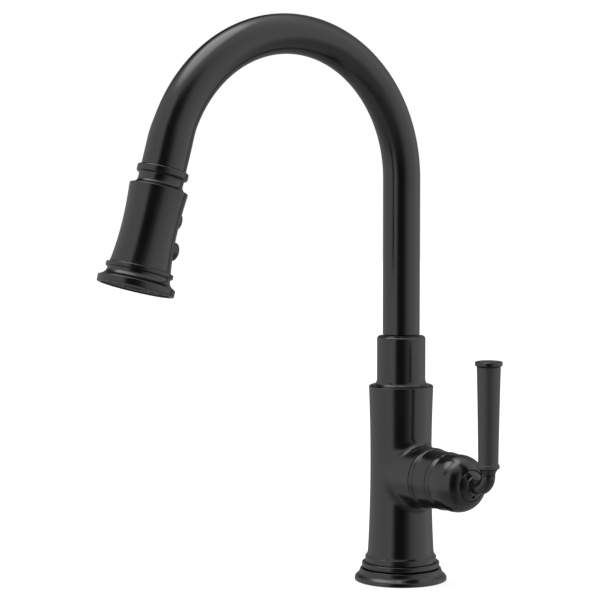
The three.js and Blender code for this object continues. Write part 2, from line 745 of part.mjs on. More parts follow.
function spout(group) {
  const outer = spoutLine(tubeFoot, mouthLength, tubeOuter, archSteps);
  const inner = outer.map((station) => ({ ...station, radius: station.radius - tubeWall }));
  const rings = [...outer, ...inner.reverse()].map((station) => tubeRing(station, medium));
  piece(group, 'spout_tube', skin(rings, true), black());

  // The hub carries the tube and turns in the body on two glide rings and two seals.
  const grooveFor = (bottom, height, depth) => [
    [hubRadius, bottom], [hubRadius - depth, bottom],
    [hubRadius - depth, bottom + height], [hubRadius, bottom + height],
  ];
  const glideBottoms = [hubBottom + glideHeight, bodyTop - 2 * glideHeight];
  const sealGroove = 2 * sealCord + 0.5;
  const betweenGlides = glideBottoms[1] - glideBottoms[0] - glideHeight;
  const sealBottoms = [1, 2].map((third) =>
    glideBottoms[0] + glideHeight + betweenGlides * third / 3 - sealGroove / 2);
  const sealMiddle = swivelBore - gap - sealCord;
  const sealFloor = hubRadius - (sealMiddle - sealCord - gap);
  const hubTop = tubeFoot + tubeSocket - gap;
  const clipTop = ledgeBottom - gap;
  const clipBottom = clipTop - clipThickness;
  const clipGroove = hubTailRadius - 1.6;
  const tailBottom = hubBottom - gap - hubTail;
  const hub = turned([
    [hubBore, tailBottom], [hubTailRadius, tailBottom],
    [hubTailRadius, clipBottom - gap], [clipGroove, clipBottom - gap],
    [clipGroove, clipTop + gap], [hubTailRadius, clipTop + gap],
    [hubTailRadius, hubBottom], [hubRadius, hubBottom],
    ...grooveFor(glideBottoms[0], glideHeight, glideGroove),
    ...sealBottoms.flatMap((bottom) => grooveFor(bottom, sealGroove, sealFloor)),
    ...grooveFor(glideBottoms[1], glideHeight, glideGroove),
    [hubRadius, hubTop], [tubeRadius + gap, hubTop], [tubeRadius + gap, tubeFoot - gap],
    [hubBore, tubeFoot - gap],
  ], medium);
  piece(group, 'spout_hub', hub, brass());
  ['lower', 'upper'].forEach((name, i) => {
    const bottom = glideBottoms[i] + 0.2;
    const glide = ringOf(
      hubRadius - glideGroove + 0.2, swivelBore - gap, bottom, bottom + glideHeight - 0.4, medium);
    piece(group, `glide_ring_${name}`, glide, plastic());
    const middle = [sealMiddle, sealBottoms[i] + sealGroove / 2];
    const cord = Array.from({ length: 4 }, (_, k) => {
      const angle = turn * k;
      return [middle[0] + sealCord * Math.cos(angle), middle[1] + sealCord * Math.sin(angle)];
    });
    piece(group, `hub_seal_${name}`, turned(cord, medium), rubber());
  });
  const clipShape = new THREE.Shape();
  clipShape.absarc(0, 0, hubTailRadius + 2, clipMouth / 2, 2 * Math.PI - clipMouth / 2);
  clipShape.absarc(0, 0, clipGroove + gap, 2 * Math.PI - clipMouth / 2, clipMouth / 2, true);
  const clip = new THREE.ExtrudeGeometry(clipShape,
    { depth: clipThickness, bevelEnabled: false, curveSegments: 8 });
  piece(group, 'hub_circlip', weld(clip.translate(0, 0, clipBottom)), steel());

  const collar = turned([
    [hubRadius + gap, collarBase], [spoutCollarFoot, collarBase],
    ...quarter([spoutCollarFoot, collarBase + 0.1], [spoutCollar + 0.4, collarBase + 0.2],
      [spoutCollar, collarBase + spoutCollarCove], 4),
    [spoutCollar, collarTop - spoutCollarRounding],
    ...quarter([spoutCollar - 0.2, collarTop - spoutCollarRounding + 0.9],
      [spoutCollar - 0.4, collarTop], [spoutCollar - spoutCollarRounding - 0.4, collarTop]),
    [tubeRadius + gap, collarTop], [tubeRadius + gap, hubTop + gap], [hubRadius + gap, hubTop + gap],
  ], fine);
  piece(group, 'spout_collar', collar, black());

  const hoseStations = spoutLine(8 - shankDrop, hoseSeat - gap, () => hoseRadius, 16);
  const hose = skin(hoseStations.map((station) => tubeRing(station, 8)), false);
  piece(group, 'spray_hose', hose, darkPlastic());
}

// ---------------------------------------------------------------- spray head

// The dock is fixed on the tube's mouth. Its bead, neck and foot cover the joint, and a
// liner guides the hose nut while a magnet holds the head.
function dock(group) {
  const dockTop = mouthLength + gap;
  const boreWide = dockFoot - 3.7;
  const sleeveRadius = tubeMouth - tubeWall - gap;
  const linerOuter = nutRadius + 0.4 + linerWall;
  const stepAt = dockEnd - magnetHeight - 1.5;
  const beadMiddle = (dockTop + dockBeadEnd) / 2;
  const collar = turned([
    [linerOuter + gap, mouthLength - dockSleeve], [sleeveRadius, mouthLength - dockSleeve],
    [sleeveRadius, dockTop], [tubeMouth + 0.6, dockTop],
    ...quarter([dockBead - 0.5, dockTop + 0.5], [dockBead, dockTop + 0.9], [dockBead, beadMiddle], 2),
    ...quarter([dockBead, beadMiddle + 0.8], [dockBead, dockBeadEnd - 0.4],
      [dockNeck + 0.9, dockBeadEnd + 0.2]),
    ...quarter([dockNeck + 0.3, dockBeadEnd + 1.8], [dockNeck, dockBeadEnd + 2.4],
      [dockNeck, dockBeadEnd + 4], 2),
    ...quarter([dockNeck + 0.2, dockEnd - 2.4], [dockNeck + 0.5, dockEnd - 0.8],
      [dockFoot, dockEnd - 0.3]),
    [dockFoot, dockEnd], [boreWide, dockEnd], [boreWide, stepAt], [linerOuter + gap, stepAt],
  ], medium);
  piece(group, 'dock_collar', collar, black());
  const liner = ringOf(nutRadius + 0.4, linerOuter, mouthLength - dockSleeve, stepAt);
  piece(group, 'dock_liner', liner, plastic());
  const magnetTop = stepAt + gap;
  const magnet = ringOf(nutRadius + 0.6, boreWide - gap, magnetTop, magnetTop + magnetHeight);
  piece(group, 'dock_magnet', magnet, steel());
}

function hoseEnd(group) {
  const nut = turned([
    [hoseRadius + gap, nutTop], [nutRadius - 1.2, nutTop], [nutRadius, nutTop + 3],
    [nutRadius, nutShoulder], [nutSpigot, nutShoulder],
    [nutSpigot, nutShoulder + 5], [nutSpigot - 1.3, nutShoulder + 5],
    [nutSpigot - 1.3, nutShoulder + 6.8], [nutSpigot, nutShoulder + 6.8],
    [nutSpigot, nutEnd], [nutBore, nutEnd], [nutBore, hoseSeat], [hoseRadius + gap, hoseSeat],
  ], coarse);
  piece(group, 'hose_nut', nut, brass());
  const seal = ringOf(nutSpigot - 1.1, nutSpigot, nutShoulder + 5.2, nutShoulder + 6.6, coarse);
  piece(group, 'hose_nut_seal', seal, rubber());
  const valve = ringOf(1, nutBore - gap, nutShoulder - 8, nutShoulder + 2, medium);
  piece(group, 'check_valve', valve, plastic());
}

const shellSide = waistedSide(
  shellShoulder, shellTop + shellRounding, shellWaist, shellWaistAt, shellMouth, shellEnd, 3);

// A post of oval section that points away from the body's side of the head, -Y here.
function ovalPost(halfWidth, halfHeight, from, to, rounding) {
  const shape = new THREE.Shape();
  const side = halfWidth - halfHeight;
  shape.absarc(side, 0, halfHeight, -turn, turn);
  shape.absarc(-side, 0, halfHeight, turn, 3 * turn);
  const post = new THREE.ExtrudeGeometry(shape, {
    depth: to - from - 2 * rounding, bevelEnabled: rounding > 0, bevelThickness: rounding,
    bevelSize: rounding, bevelOffset: -rounding, bevelSegments: 1, curveSegments: 4,
  });
  return weld(post.translate(0, 0, from + rounding).rotateX(turn));
}

function sprayHead(group) {
  const inner = shellSide.map(([radius, at]) => [radius - shellWall, at]).reverse();
  const plateBottom = shellTop + 2.5;
  const shell = turned([
    [shellHole, shellTop], [shellShoulder - shellRounding, shellTop],
    ...quarter([shellShoulder - 0.7, shellTop + 0.2], [shellShoulder, shellTop + 0.4], shellSide[0], 2),
    ...shellSide.slice(1), ...inner.filter(([, at]) => at > plateBottom),
    [radiusOn(shellSide, plateBottom) - shellWall, plateBottom], [shellHole, plateBottom],
  ], fine);
  const windows = [upperButtonAt, lowerButtonAt].map((at) =>
    ovalPost(buttonHalfWidth + gap, buttonHalfHeight + gap, blockRadius, through, 0)
      .translate(0, 0, at));
  piece(group, 'spray_shell', cut(shell, ...windows), black());

  const catchOuter = shellWaist - shellWall - gap;
  const catchRing = ringOf(inletRadius + gap, catchOuter, plateBottom + gap, plateBottom + 2.8);
  piece(group, 'catch_ring', catchRing, steel());
  const inlet = turned([
    [nutSpigot + gap, plateBottom + gap], [inletRadius, plateBottom + gap], [inletRadius, inletEnd],
    [nutBore, inletEnd], [nutBore, nutEnd + gap], [nutSpigot + gap, nutEnd + gap],
  ], coarse);
  piece(group, 'head_inlet', inlet, brass());

  // The diverter block guides both buttons and holds the rocker between them.
  const blockTop = inletEnd + gap;
  const middleAt = (upperButtonAt + lowerButtonAt) / 2;
  const arm = (lowerButtonAt - upperButtonAt) / 2;
  const rockerReach = arm + rockerOverhang;
  const swing = Math.asin(buttonTravel / 2 / arm);
  const roomDepth = rockerThickness / 2 + rockerReach * Math.sin(swing) + 0.5;
  const room = box(rockerWidth + 1, 2 * roomDepth, 2 * rockerReach + 1.4)
    .translate(0, -rockerDepth, middleAt);
  const bores = [upperButtonAt, lowerButtonAt].map((at) =>
    rod(buttonStem + gap, rockerDepth, 20).rotateX(turn).translate(0, 0, at));
  const waterway = rod(buttonStem, blockTop - 1, blockEnd + 1, 16).translate(0, 6.6, 0);
  const pinHole = rod(rockerPin + gap, -6.6, 6.6, 12).rotateY(turn).translate(0, -rockerDepth, middleAt);
  const block = cut(rod(blockRadius, blockTop, blockEnd), room, ...bores, waterway, pinHole);
  piece(group, 'diverter_block', block, darkPlastic());
  const pin = rod(rockerPin, -6.3, 6.3, 12).rotateY(turn).translate(0, -rockerDepth, middleAt);
  piece(group, 'rocker_pin', pin, steel());

  const rocker = new THREE.Group();
  rocker.position.set(0, -rockerDepth, middleAt);
  rocker.rotation.x = swing;
  group.add(rocker);
  const bar = cut(box(rockerWidth, rockerThickness, 2 * rockerReach),
    rod(rockerPin + gap, -through / 2, through / 2).rotateY(turn));
  piece(rocker, 'diverter_rocker', bar, steel());

  for (const [name, at] of [['upper', upperButtonAt], ['lower', lowerButtonAt]]) {
    const pressed = name === 'upper' ? buttonTravel : 0;
    const out = radiusOn(shellSide, at) + buttonProud - pressed;
    const back = blockRadius + 0.65 + buttonTravel - pressed;
    const tipEnd = rockerDepth + rockerThickness / 2 + 0.5 + (pressed ? -1 : 1) * buttonTravel / 2;
    const button = join(
      ovalPost(buttonHalfWidth, buttonHalfHeight, back, out, buttonRounding),
      rod(buttonStem, tipEnd + buttonTipLength, back + 1).rotateX(turn),
      rod(buttonTip, tipEnd, tipEnd + buttonTipLength + 0.5, 6).rotateX(turn),
    ).translate(0, 0, at);
    piece(group, `${name}_button`, button, black());
  }

  // The face ring screws into the shell and clamps the jet guide and the nozzle face.
  const sleeve = radiusOn(shellSide, shellEnd - ringSleeve) - shellWall - gap;
  const sleeveInner = sleeve - ringSleeveWall;
  const ringTop = shellEnd + gap;
  const guideRim = sleeveInner + 5.8;
  const faceBottom = ringEnd - faceRecess;
  const faceTop = faceBottom - faceThickness;
  const guideStep = faceTop - gap - 1.2;
  const coveMiddle = (ringBeadEnd + ringRimTop) / 2;
  const ring = turned([
    [sleeveInner, shellEnd - ringSleeve], [sleeve, shellEnd - ringSleeve], [sleeve, ringTop],
    [shellMouth + 0.3, ringTop],
    [ringBead - 0.3, ringTop + 0.1], [ringBead, ringTop + 0.5],
    ...quarter([ringBead, ringBeadEnd - 0.9], [ringBead, ringBeadEnd - 0.1],
      [ringCove + 0.5, ringBeadEnd]),
    ...quarter([ringCove, ringBeadEnd + 0.7], [ringCove + 0.2, coveMiddle + 0.4],
      [ringRim - 0.7, ringRimTop - 0.7], 3),
    [ringRim, ringRimTop], [ringRim, ringEnd - 1], [ringRim - 0.9, ringEnd],
    [guideRim + 2.1, ringEnd], [guideRim + 1.7, ringEnd - 0.5], [guideRim + 1.7, faceTop - gap],
    [guideRim + gap, faceTop - gap], [guideRim + gap, guideStep - gap], [sleeveInner, guideStep - 3.6],
  ], fine);
  piece(group, 'face_ring', ring, black());

  const guideTop = blockEnd + gap;
  const guideBottom = faceTop - gap;
  const guideBore = aeratorRadius + gap;
  const waterHoles = Array.from({ length: 6 }, (_, i) =>
    rod(1.8, guideTop - 1, guideBottom + 1, 6).translate(12.2, 0, 0).rotateZ(Math.PI * i / 3));
  const guide = cut(turned([
    [guideBore, guideTop], [sleeveInner - gap, guideTop], [sleeveInner - gap, guideStep - 3.3],
    [guideRim, guideStep], [guideRim, guideBottom], [guideBore, guideBottom],
  ], coarse), ...waterHoles);
  piece(group, 'jet_guide', guide, plastic());

  const faceRadius = guideRim + 1.7 - gap;
  const nozzles = nozzleRows.flatMap(({ radius, count }) => Array.from({ length: count }, (_, i) =>
    weld(new THREE.CylinderGeometry(0.7, 1.1, nozzleHeight + 0.5, 6).rotateX(turn)
      .translate(radius, 0, faceBottom + (nozzleHeight - 0.5) / 2).rotateZ(2 * Math.PI * i / count))));
  const facePlate = ringOf(aeratorRadius + 1.2, faceRadius, faceTop, faceBottom, fine);
  piece(group, 'nozzle_face', join(facePlate, ...nozzles), darkPlastic());
  const aerator = turned([
    [0, guideTop + 2], [aeratorRadius, guideTop + 2], [aeratorRadius, faceTop],
    [aeratorRadius + 0.9, faceTop], [aeratorRadius + 0.9, faceBottom], [aeratorRadius - 1, faceBottom],
    [aeratorRadius - 1.4, faceBottom - 1], [0, faceBottom - 1],
  ], coarse);
  piece(group, 'aerator', aerator, darkPlastic());
}

// ---------------------------------------------------------------- assembly

deckStack(model);
bodyShell(model);

const armGroup = new THREE.Group();
armGroup.position.set(0, 0, valveHeight);
armGroup.rotation.y = turn;
model.add(armGroup);
valveArm(armGroup);

const leverGroup = new THREE.Group();
leverGroup.position.set(0, 0, valveHeight);
model.add(leverGroup);
lever(leverGroup);

spout(model);

// The head's own +Z runs down its middle, from the end of the arch.
const headGroup = new THREE.Group();
headGroup.position.set(
  0, archRadius * (Math.cos(archTurn) - 1), archCentre + archRadius * Math.sin(archTurn));
headGroup.rotation.x = archTurn;
model.add(headGroup);
dock(headGroup);
hoseEnd(headGroup);
sprayHead(headGroup);

export default model;
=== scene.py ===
"""Dresses the pull-down kitchen faucet: turned skins, spray head, deck hardware, studio and camera.

Lengths are written in millimetres, as in the part's source, and every mesh is made in metres.
The faucet's own axis is +Z from the deck's top face, the spout reaches along -Y and the lever
stands on the +X side.
"""
import json
import math

import bpy
import numpy as np
from mathutils import Matrix, Vector


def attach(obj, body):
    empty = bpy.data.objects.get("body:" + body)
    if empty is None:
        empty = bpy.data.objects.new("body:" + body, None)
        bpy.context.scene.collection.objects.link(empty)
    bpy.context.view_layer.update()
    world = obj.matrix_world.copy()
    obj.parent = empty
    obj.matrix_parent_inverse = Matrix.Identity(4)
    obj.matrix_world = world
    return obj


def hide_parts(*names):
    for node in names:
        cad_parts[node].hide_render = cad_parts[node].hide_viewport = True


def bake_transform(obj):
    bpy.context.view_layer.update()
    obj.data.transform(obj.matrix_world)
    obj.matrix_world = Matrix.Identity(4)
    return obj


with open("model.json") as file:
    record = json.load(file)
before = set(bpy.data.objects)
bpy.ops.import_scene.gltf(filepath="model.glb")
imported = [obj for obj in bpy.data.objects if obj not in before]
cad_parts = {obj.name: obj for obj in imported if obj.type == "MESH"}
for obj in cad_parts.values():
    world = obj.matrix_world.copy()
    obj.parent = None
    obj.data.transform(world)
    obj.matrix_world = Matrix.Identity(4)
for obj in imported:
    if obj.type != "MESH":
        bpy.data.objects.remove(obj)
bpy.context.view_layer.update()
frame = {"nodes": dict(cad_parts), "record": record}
scene = bpy.context.scene

MM = 0.001
SHARP = math.radians(33)         # edges that turn more than this stay crisp

ARC_STEP = math.radians(8)       # turn from one point of a rounding to the next

# Deck
AROUND_SHANK = 16.8              # bore of what sits round the shank
SHANK_FOOT = -65
DECK_UNDER = -30
NUT_TOP = -34.6
NUT_BOTTOM = -44.6
NUT_RADIUS = 26
SCREW_CIRCLE = 21.7              # of the two thrust screws
# Body and arm
BODY_BASE = 13.9
BODY_TOP = 148.5
VALVE = 82.0                     # height of the valve arm's axis
HORN = 22.8                      # radius of the arm where it leaves the body
HORN_END = 35.7
HORN_FILLET = 6.5
SHAFT_MIDDLE = 24                # radius that turns an angle on the shaft into a length
PIVOT = 71.0                     # the lever's ball, from the faucet's axis
LEVER = 99.7                     # the grip's axis
ELBOW = 5.3                      # radius of the elbow's round bar
ELBOW_BEND = 10
GRIP_BORE = 3.5
PEG = 3.2                        # radius of the pegs on the elbow and the cap, inside the grip
# Spout
TUBE = 14                        # radius of the gooseneck's riser
TUBE_WALL = 1.6
MOUTH_RADIUS = 15.9
MOUTH_FLARE = 16                 # the length over which the tube widens to its mouth
HOSE = 6
ARCH = 106.3
ARCH_CENTRE = 304.7
ARCH_TURN = math.radians(163.8)
MOUTH = 19.7                     # straight length after the arch
UPPER_KEY = 52.8                 # the buttons, from the end of the arch
LOWER_KEY = 73.8
KEY_TRAVEL = 2.9
KEY_PROUD = 4.0                  # a button that isn't pressed, over the shell

ARM = Matrix.Translation((0, 0, VALVE)) @ Matrix.Rotation(math.pi / 2, 4, "Y")
GRIP = Matrix.Translation((LEVER, 0, VALVE))
HEAD = Matrix.Translation((
    0, ARCH * (math.cos(ARCH_TURN) - 1), ARCH_CENTRE + ARCH * math.sin(ARCH_TURN),
)) @ Matrix.Rotation(ARCH_TURN, 4, "X")


# ---------------------------------------------------------------- shader tools

class Value:
    """A number that changes over a surface. Sums written with it add Math nodes."""

    def __init__(self, shader, socket):
        self.shader = shader
        self.socket = socket

    def _math(self, operation, *values):
        return self.shader.math(operation, *values)

    def __add__(self, other):
        return self._math("ADD", self, other)

    def __radd__(self, other):
        return self._math("ADD", other, self)

    def __sub__(self, other):
        return self._math("SUBTRACT", self, other)

    def __rsub__(self, other):
        return self._math("SUBTRACT", other, self)

    def __mul__(self, other):
        return self._math("MULTIPLY", self, other)

    def __rmul__(self, other):
        return self._math("MULTIPLY", other, self)


class Shader:
    """Adds nodes to a material's or the world's tree."""

    def __init__(self, owner):
        owner.use_nodes = True
        self.tree = owner.node_tree
        self.tree.nodes.clear()

    def node(self, kind, inputs=None, **settings):
        """Adds one node: its settings first, then a value or a link for each named socket."""
        made = self.tree.nodes.new(kind)
        for name, value in settings.items():
            setattr(made, name, value)
        for name, value in (inputs or {}).items():
            socket = made.inputs[name]
            if isinstance(value, Value):
                value = value.socket
            if isinstance(value, bpy.types.NodeSocket):
                self.tree.links.new(value, socket)
            else:
                socket.default_value = value
        return made

    def math(self, operation, *values):
        inputs = dict(enumerate(values))
        return Value(self, self.node("ShaderNodeMath", inputs, operation=operation).outputs[0])

    def between(self, value, low, high):
        """Runs smoothly from 0 to 1 while the input goes from low to high."""
        made = self.node("ShaderNodeMapRange", {
            "Value": value, "From Min": low, "From Max": high,
        }, interpolation_type="SMOOTHSTEP")
        return Value(self, made.outputs["Result"])

    def colour(self, share, first, second):
        made = self.node("ShaderNodeMix", {0: share, 6: first, 7: second}, data_type="RGBA")
        return made.outputs[2]

    def place(self):
        return self.node("ShaderNodeTexCoord").outputs["Object"]

    def parts(self, vector):
        made = self.node("ShaderNodeSeparateXYZ", {0: vector})
        return [Value(self, made.outputs[i]) for i in range(3)]

    def noise(self, size, detail=2.0):
        """Noise whose blotches are about as wide as size, in millimetres."""
        made = self.node("ShaderNodeTexNoise", {
            "Vector": self.place(), "Scale": 1 / (size * MM), "Detail": detail,
        })
        return Value(self, made.outputs[0])

    def bump(self, height, depth):
        """Relief of a height from 0 to 1, that many millimetres deep."""
        made = self.node("ShaderNodeBump", {"Height": height, "Distance": depth * MM, "Strength": 1})
        return made.outputs["Normal"]


def grey(value):
    return (value, value, value, 1)


def finish(name, look):
    """A material whose look adds its nodes and returns the shader's sockets."""
    material = bpy.data.materials.new(name)
    shader = Shader(material)
    surface = shader.node("ShaderNodeBsdfPrincipled", look(shader))
    shader.node("ShaderNodeOutputMaterial", {"Surface": surface.outputs[0]})
    return material


# ---------------------------------------------------------------- finishes

def satin_black(roughness, darkest, lightest):
    """Powder coat: nearly black, with a fine peel in it and slightly uneven sheen."""
    def look(shader):
        cloud = shader.noise(14)
        sag = shader.noise(6)
        peel = shader.noise(1.7)
        grain = shader.noise(0.9, 3)
        return {
            "Base Color": shader.colour(cloud, grey(darkest), grey(lightest)),
            "Roughness": roughness - 0.05 + 0.05 * cloud + 0.05 * grain,
            "Normal": shader.bump(0.7 * sag + 0.18 * peel + 0.12 * grain, 0.04),
            "IOR": 1.5,
        }
    return look


def turned_metal(first, second, roughness):
    """Machined metal with fine tool marks and a little tarnish."""
    def look(shader):
        cloud = shader.noise(9, 4)
        marks = shader.noise(0.35, 1)
        return {
            "Base Color": shader.colour(cloud, first, second),
            "Metallic": 1.0,
            "Roughness": roughness - 0.06 + 0.12 * marks + 0.08 * cloud,
            "Normal": shader.bump(marks, 0.01),
        }
    return look


def moulded(first, second, roughness, depth):
    """Moulded plastic, rubber or ceramic with a faint surface texture."""
    def look(shader):
        cloud = shader.noise(11, 3)
        texture = shader.noise(0.5, 2)
        return {
            "Base Color": shader.colour(cloud, first, second),
            "Roughness": roughness - 0.05 + 0.1 * texture,
            "Normal": shader.bump(texture, depth),
        }
    return look


def braid(shader):
    """Nylon strands laid crosswise round the hose, which runs down the head's axis."""
    down_head = HEAD.to_euler("XYZ")
    turned_back = shader.node("ShaderNodeMapping", {
        "Vector": shader.place(), "Location": HEAD.translation * MM, "Rotation": down_head,
    }, vector_type="TEXTURE")
    across, out, along = shader.parts(turned_back.outputs[0])
    angle = shader.math("ARCTAN2", out, across)
    strands = 12
    lay = 6.5 * MM
    advance = along * (2 * math.pi / lay)
    one = shader.math("SINE", angle * strands + advance)
    other = shader.math("SINE", angle * strands - advance)
    over = shader.between(one * other, -0.25, 0.25)
    strand = shader.math("ABSOLUTE", one) * over + shader.math("ABSOLUTE", other) * (1 - over)
    # The colour is darker in the gaps between the strands and lighter on their crowns: painted shade in the
    # gaps.
    return {
        "Base Color": shader.colour(strand, grey(0.006), grey(0.035)),
        "Roughness": 0.62 - 0.14 * strand,
        "Normal": shader.bump(strand, 0.25),
    }


finishes = {
    "matte_black": finish("satin_black_coat", satin_black(0.19, 0.0038, 0.0062)),
    "brass": finish("turned_brass", turned_metal((0.66, 0.43, 0.16, 1), (0.52, 0.32, 0.12, 1), 0.3)),
    "steel": finish("bright_steel", turned_metal(grey(0.56), grey(0.42), 0.28)),
    "rubber": finish("seal_rubber", moulded(grey(0.012), grey(0.022), 0.72, 0.02)),
    "white_plastic": finish("acetal", moulded(grey(0.74), grey(0.66), 0.42, 0.01)),
    "black_plastic": finish("glass_filled_nylon", moulded(grey(0.018), grey(0.03), 0.5, 0.02)),
    "disc_ceramic": finish("polished_ceramic", moulded(grey(0.84), grey(0.78), 0.2, 0.002)),
    "hose_braid": finish("braided_nylon", braid),
    "face_rubber": finish("nozzle_silicone", moulded(grey(0.028), grey(0.04), 0.6, 0.02)),
}
# The grip's coat is rougher, as a hand wears it duller; its lighter colour is painted light. The grub screw
# is black oxide, not bright steel.
rough_grip_coat_painted_lighter = finish("rough_black_coat_painted_lighter", satin_black(0.47, 0.026, 0.032))
black_oxide = finish("black_oxide_steel", turned_metal(grey(0.03), grey(0.05), 0.4))


# ---------------------------------------------------------------- shape tools

def outline(*corners):
    """Points of a closed outline. A corner is (radius, height) or (radius, height, rounding).

    A rounding becomes an arc, with a holding point just past each end of it that keeps the
    flats beside it flat in the light."""
    points = []
    for i, corner in enumerate(corners):
        here = np.array(corner[:2], float)
        if len(corner) == 2:
            points.append(here)
            continue
        before = np.array(corners[i - 1][:2], float) - here
        after = np.array(corners[(i + 1) % len(corners)][:2], float) - here
        room = min(np.linalg.norm(before), np.linalg.norm(after))
        before = before / np.linalg.norm(before)
        after = after / np.linalg.norm(after)
        half = math.acos(max(-1.0, min(1.0, float(before @ after)))) / 2
        turn = math.pi - 2 * half
        reach = min(corner[2] / math.tan(half), 0.96 * room)
        radius = reach * math.tan(half)
        middle = here + (before + after) / np.linalg.norm(before + after) * radius / math.sin(half)
        count = max(2, math.ceil(turn / ARC_STEP))
        hold = min(0.3 * reach, room - reach, 0.4)
        points.append(here + before * (reach + hold))
        start = here + before * reach - middle
        end = here + after * reach - middle
        for k in range(count + 1):
            share = k / count
            arm = start * math.sin((1 - share) * turn) + end * math.sin(share * turn)
            points.append(middle + arm / math.sin(turn))
        points.append(here + after * (reach + hold))
    return [(float(r), float(z)) for r, z in points]


def washer(inner, outer, bottom, top, inside, outside):
    """A flat ring's outline, with one rounding for its bore and one for its rim."""
    return outline((inner, bottom, inside), (outer, bottom, outside),
                   (outer, top, outside), (inner, top, inside))


def bezier(*controls, count=12):
    """Points along a Bezier curve, ends included."""
    controls = [np.array(point, float) for point in controls]
    points = []
    for k in range(count + 1):
        row = controls
        while len(row) > 1:
            row = [a + (b - a) * k / count for a, b in zip(row, row[1:])]
        points.append(tuple(row[0]))
    return points


def ring(radius, height, sides):
    """A level circle of points, or one point where the radius is nothing."""
    if radius < 1e-6:
        return np.array([[0.0, 0.0, height]])
    angles = np.arange(sides) * 2 * math.pi / sides
    return np.stack([radius * np.cos(angles), radius * np.sin(angles), np.full(sides, height)], axis=1)


def tilted_ring(centre, across, out, radius, sides):
    """A circle of points in the plane of two directions."""
    angles = (np.arange(sides) * 2 * math.pi / sides)[:, None]
    across = np.array(across, float)
    out = np.array(out, float)
    return np.array(centre, float) + radius * (np.cos(angles) * across + np.sin(angles) * out)


def mesh_object(name, points, faces, place=Matrix()):
    """A smooth object from points in millimetres, with its faces turned outwards."""
    points = np.asarray(points, float)
    volume = 0.0
    for face in faces:
        for b, c in zip(face[1:], face[2:]):
            volume += points[face[0]] @ np.cross(points[b], points[c])
    if volume < 0:
        faces = [tuple(reversed(face)) for face in faces]
    mesh = bpy.data.meshes.new(name)
    mesh.from_pydata((points * MM).tolist(), [], faces)
    moved = place.copy()
    moved.translation = place.translation * MM
    mesh.transform(moved)
    made = bpy.data.objects.new(name, mesh)
    scene.collection.objects.link(made)
    soften(made)
    return made


def soften(made):
    made.data.shade_smooth()
    made.data.set_sharp_from_angle(angle=SHARP)


def skin(name, rings, place=Matrix(), looped=False):
    """Closes a row of rings into one skin. A ring of one point is a pole, and the ends of a row
    that isn't looped are closed with a flat face."""
    points = np.concatenate(rings)
    starts = np.cumsum([0] + [len(row) for row in rings])
    faces = []
    pairs = list(zip(range(len(rings)), range(1, len(rings))))
    if looped:
        pairs.append((len(rings) - 1, 0))
    for low, high in pairs:
        sides = max(len(rings[low]), len(rings[high]))
        for i in range(sides):
            j = (i + 1) % sides
            a, b = starts[low] + i, starts[low] + j
            c, d = starts[high] + j, starts[high] + i
            if len(rings[low]) == 1:
                faces.append((starts[low], c, d))
            elif len(rings[high]) == 1:
                faces.append((a, b, starts[high]))
            else:
                faces.append((a, b, c, d))
    if not looped:
        if len(rings[0]) > 1:
            faces.append(tuple(range(len(rings[0]) - 1, -1, -1)))
        if len(rings[-1]) > 1:
            faces.append(tuple(range(starts[-2], starts[-1])))
    faces = [tuple(int(k) for k in face) for face in faces]
    return mesh_object(name, points, faces, place)


def turned(name, points, place=Matrix(), sides=128, solid=False):
    """Turns an outline about +Z. A solid outline starts and ends on the axis."""
    return skin(name, [ring(r, z, sides) for r, z in points], place, looped=not solid)


def cut(made, *cutters):
    """Takes the cutters away from a piece."""
    for cutter in cutters:
        modifier = made.modifiers.new("cut", "BOOLEAN")
        modifier.operation = "DIFFERENCE"
        modifier.solver = "EXACT"
        modifier.object = cutter
    settle(made)
    for cutter in cutters:
        bpy.data.objects.remove(cutter)
    soften(made)
    return made


def settle(made):
    """Makes what the modifiers show the object's own mesh, and removes them."""
    bpy.context.view_layer.update()
    shown = made.evaluated_get(bpy.context.evaluated_depsgraph_get())
    mesh = bpy.data.meshes.new_from_object(shown)
    made.modifiers.clear()
    made.data = mesh


def joined(name, *pieces):
    """One object from the meshes of several."""
    points = []
    faces = []
    for made in pieces:
        start = len(points)
        points.extend(v.co / MM for v in made.data.vertices)
        faces.extend(tuple(start + k for k in face.vertices) for face in made.data.polygons)
        bpy.data.objects.remove(made)
    return mesh_object(name, np.array(points), faces)


def fit(made, body, slot, *nodes, coat=None):
    """Gives a piece its finish and its body, and hides the nodes that it stands for."""
    made.data.materials.clear()
    made.data.materials.append(coat or finishes[slot])
    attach(made, body)
    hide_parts(*nodes)
    return made


def waisted(foot, foot_at, waist, waist_at, top, top_at, height):
    """Radius at a height of a shaft that narrows to its waist and widens again."""
    end, end_at = (foot, foot_at) if height < waist_at else (top, top_at)
    share = (height - waist_at) / (end_at - waist_at)
    return waist + (end - waist) * share * share


# ---------------------------------------------------------------- deck

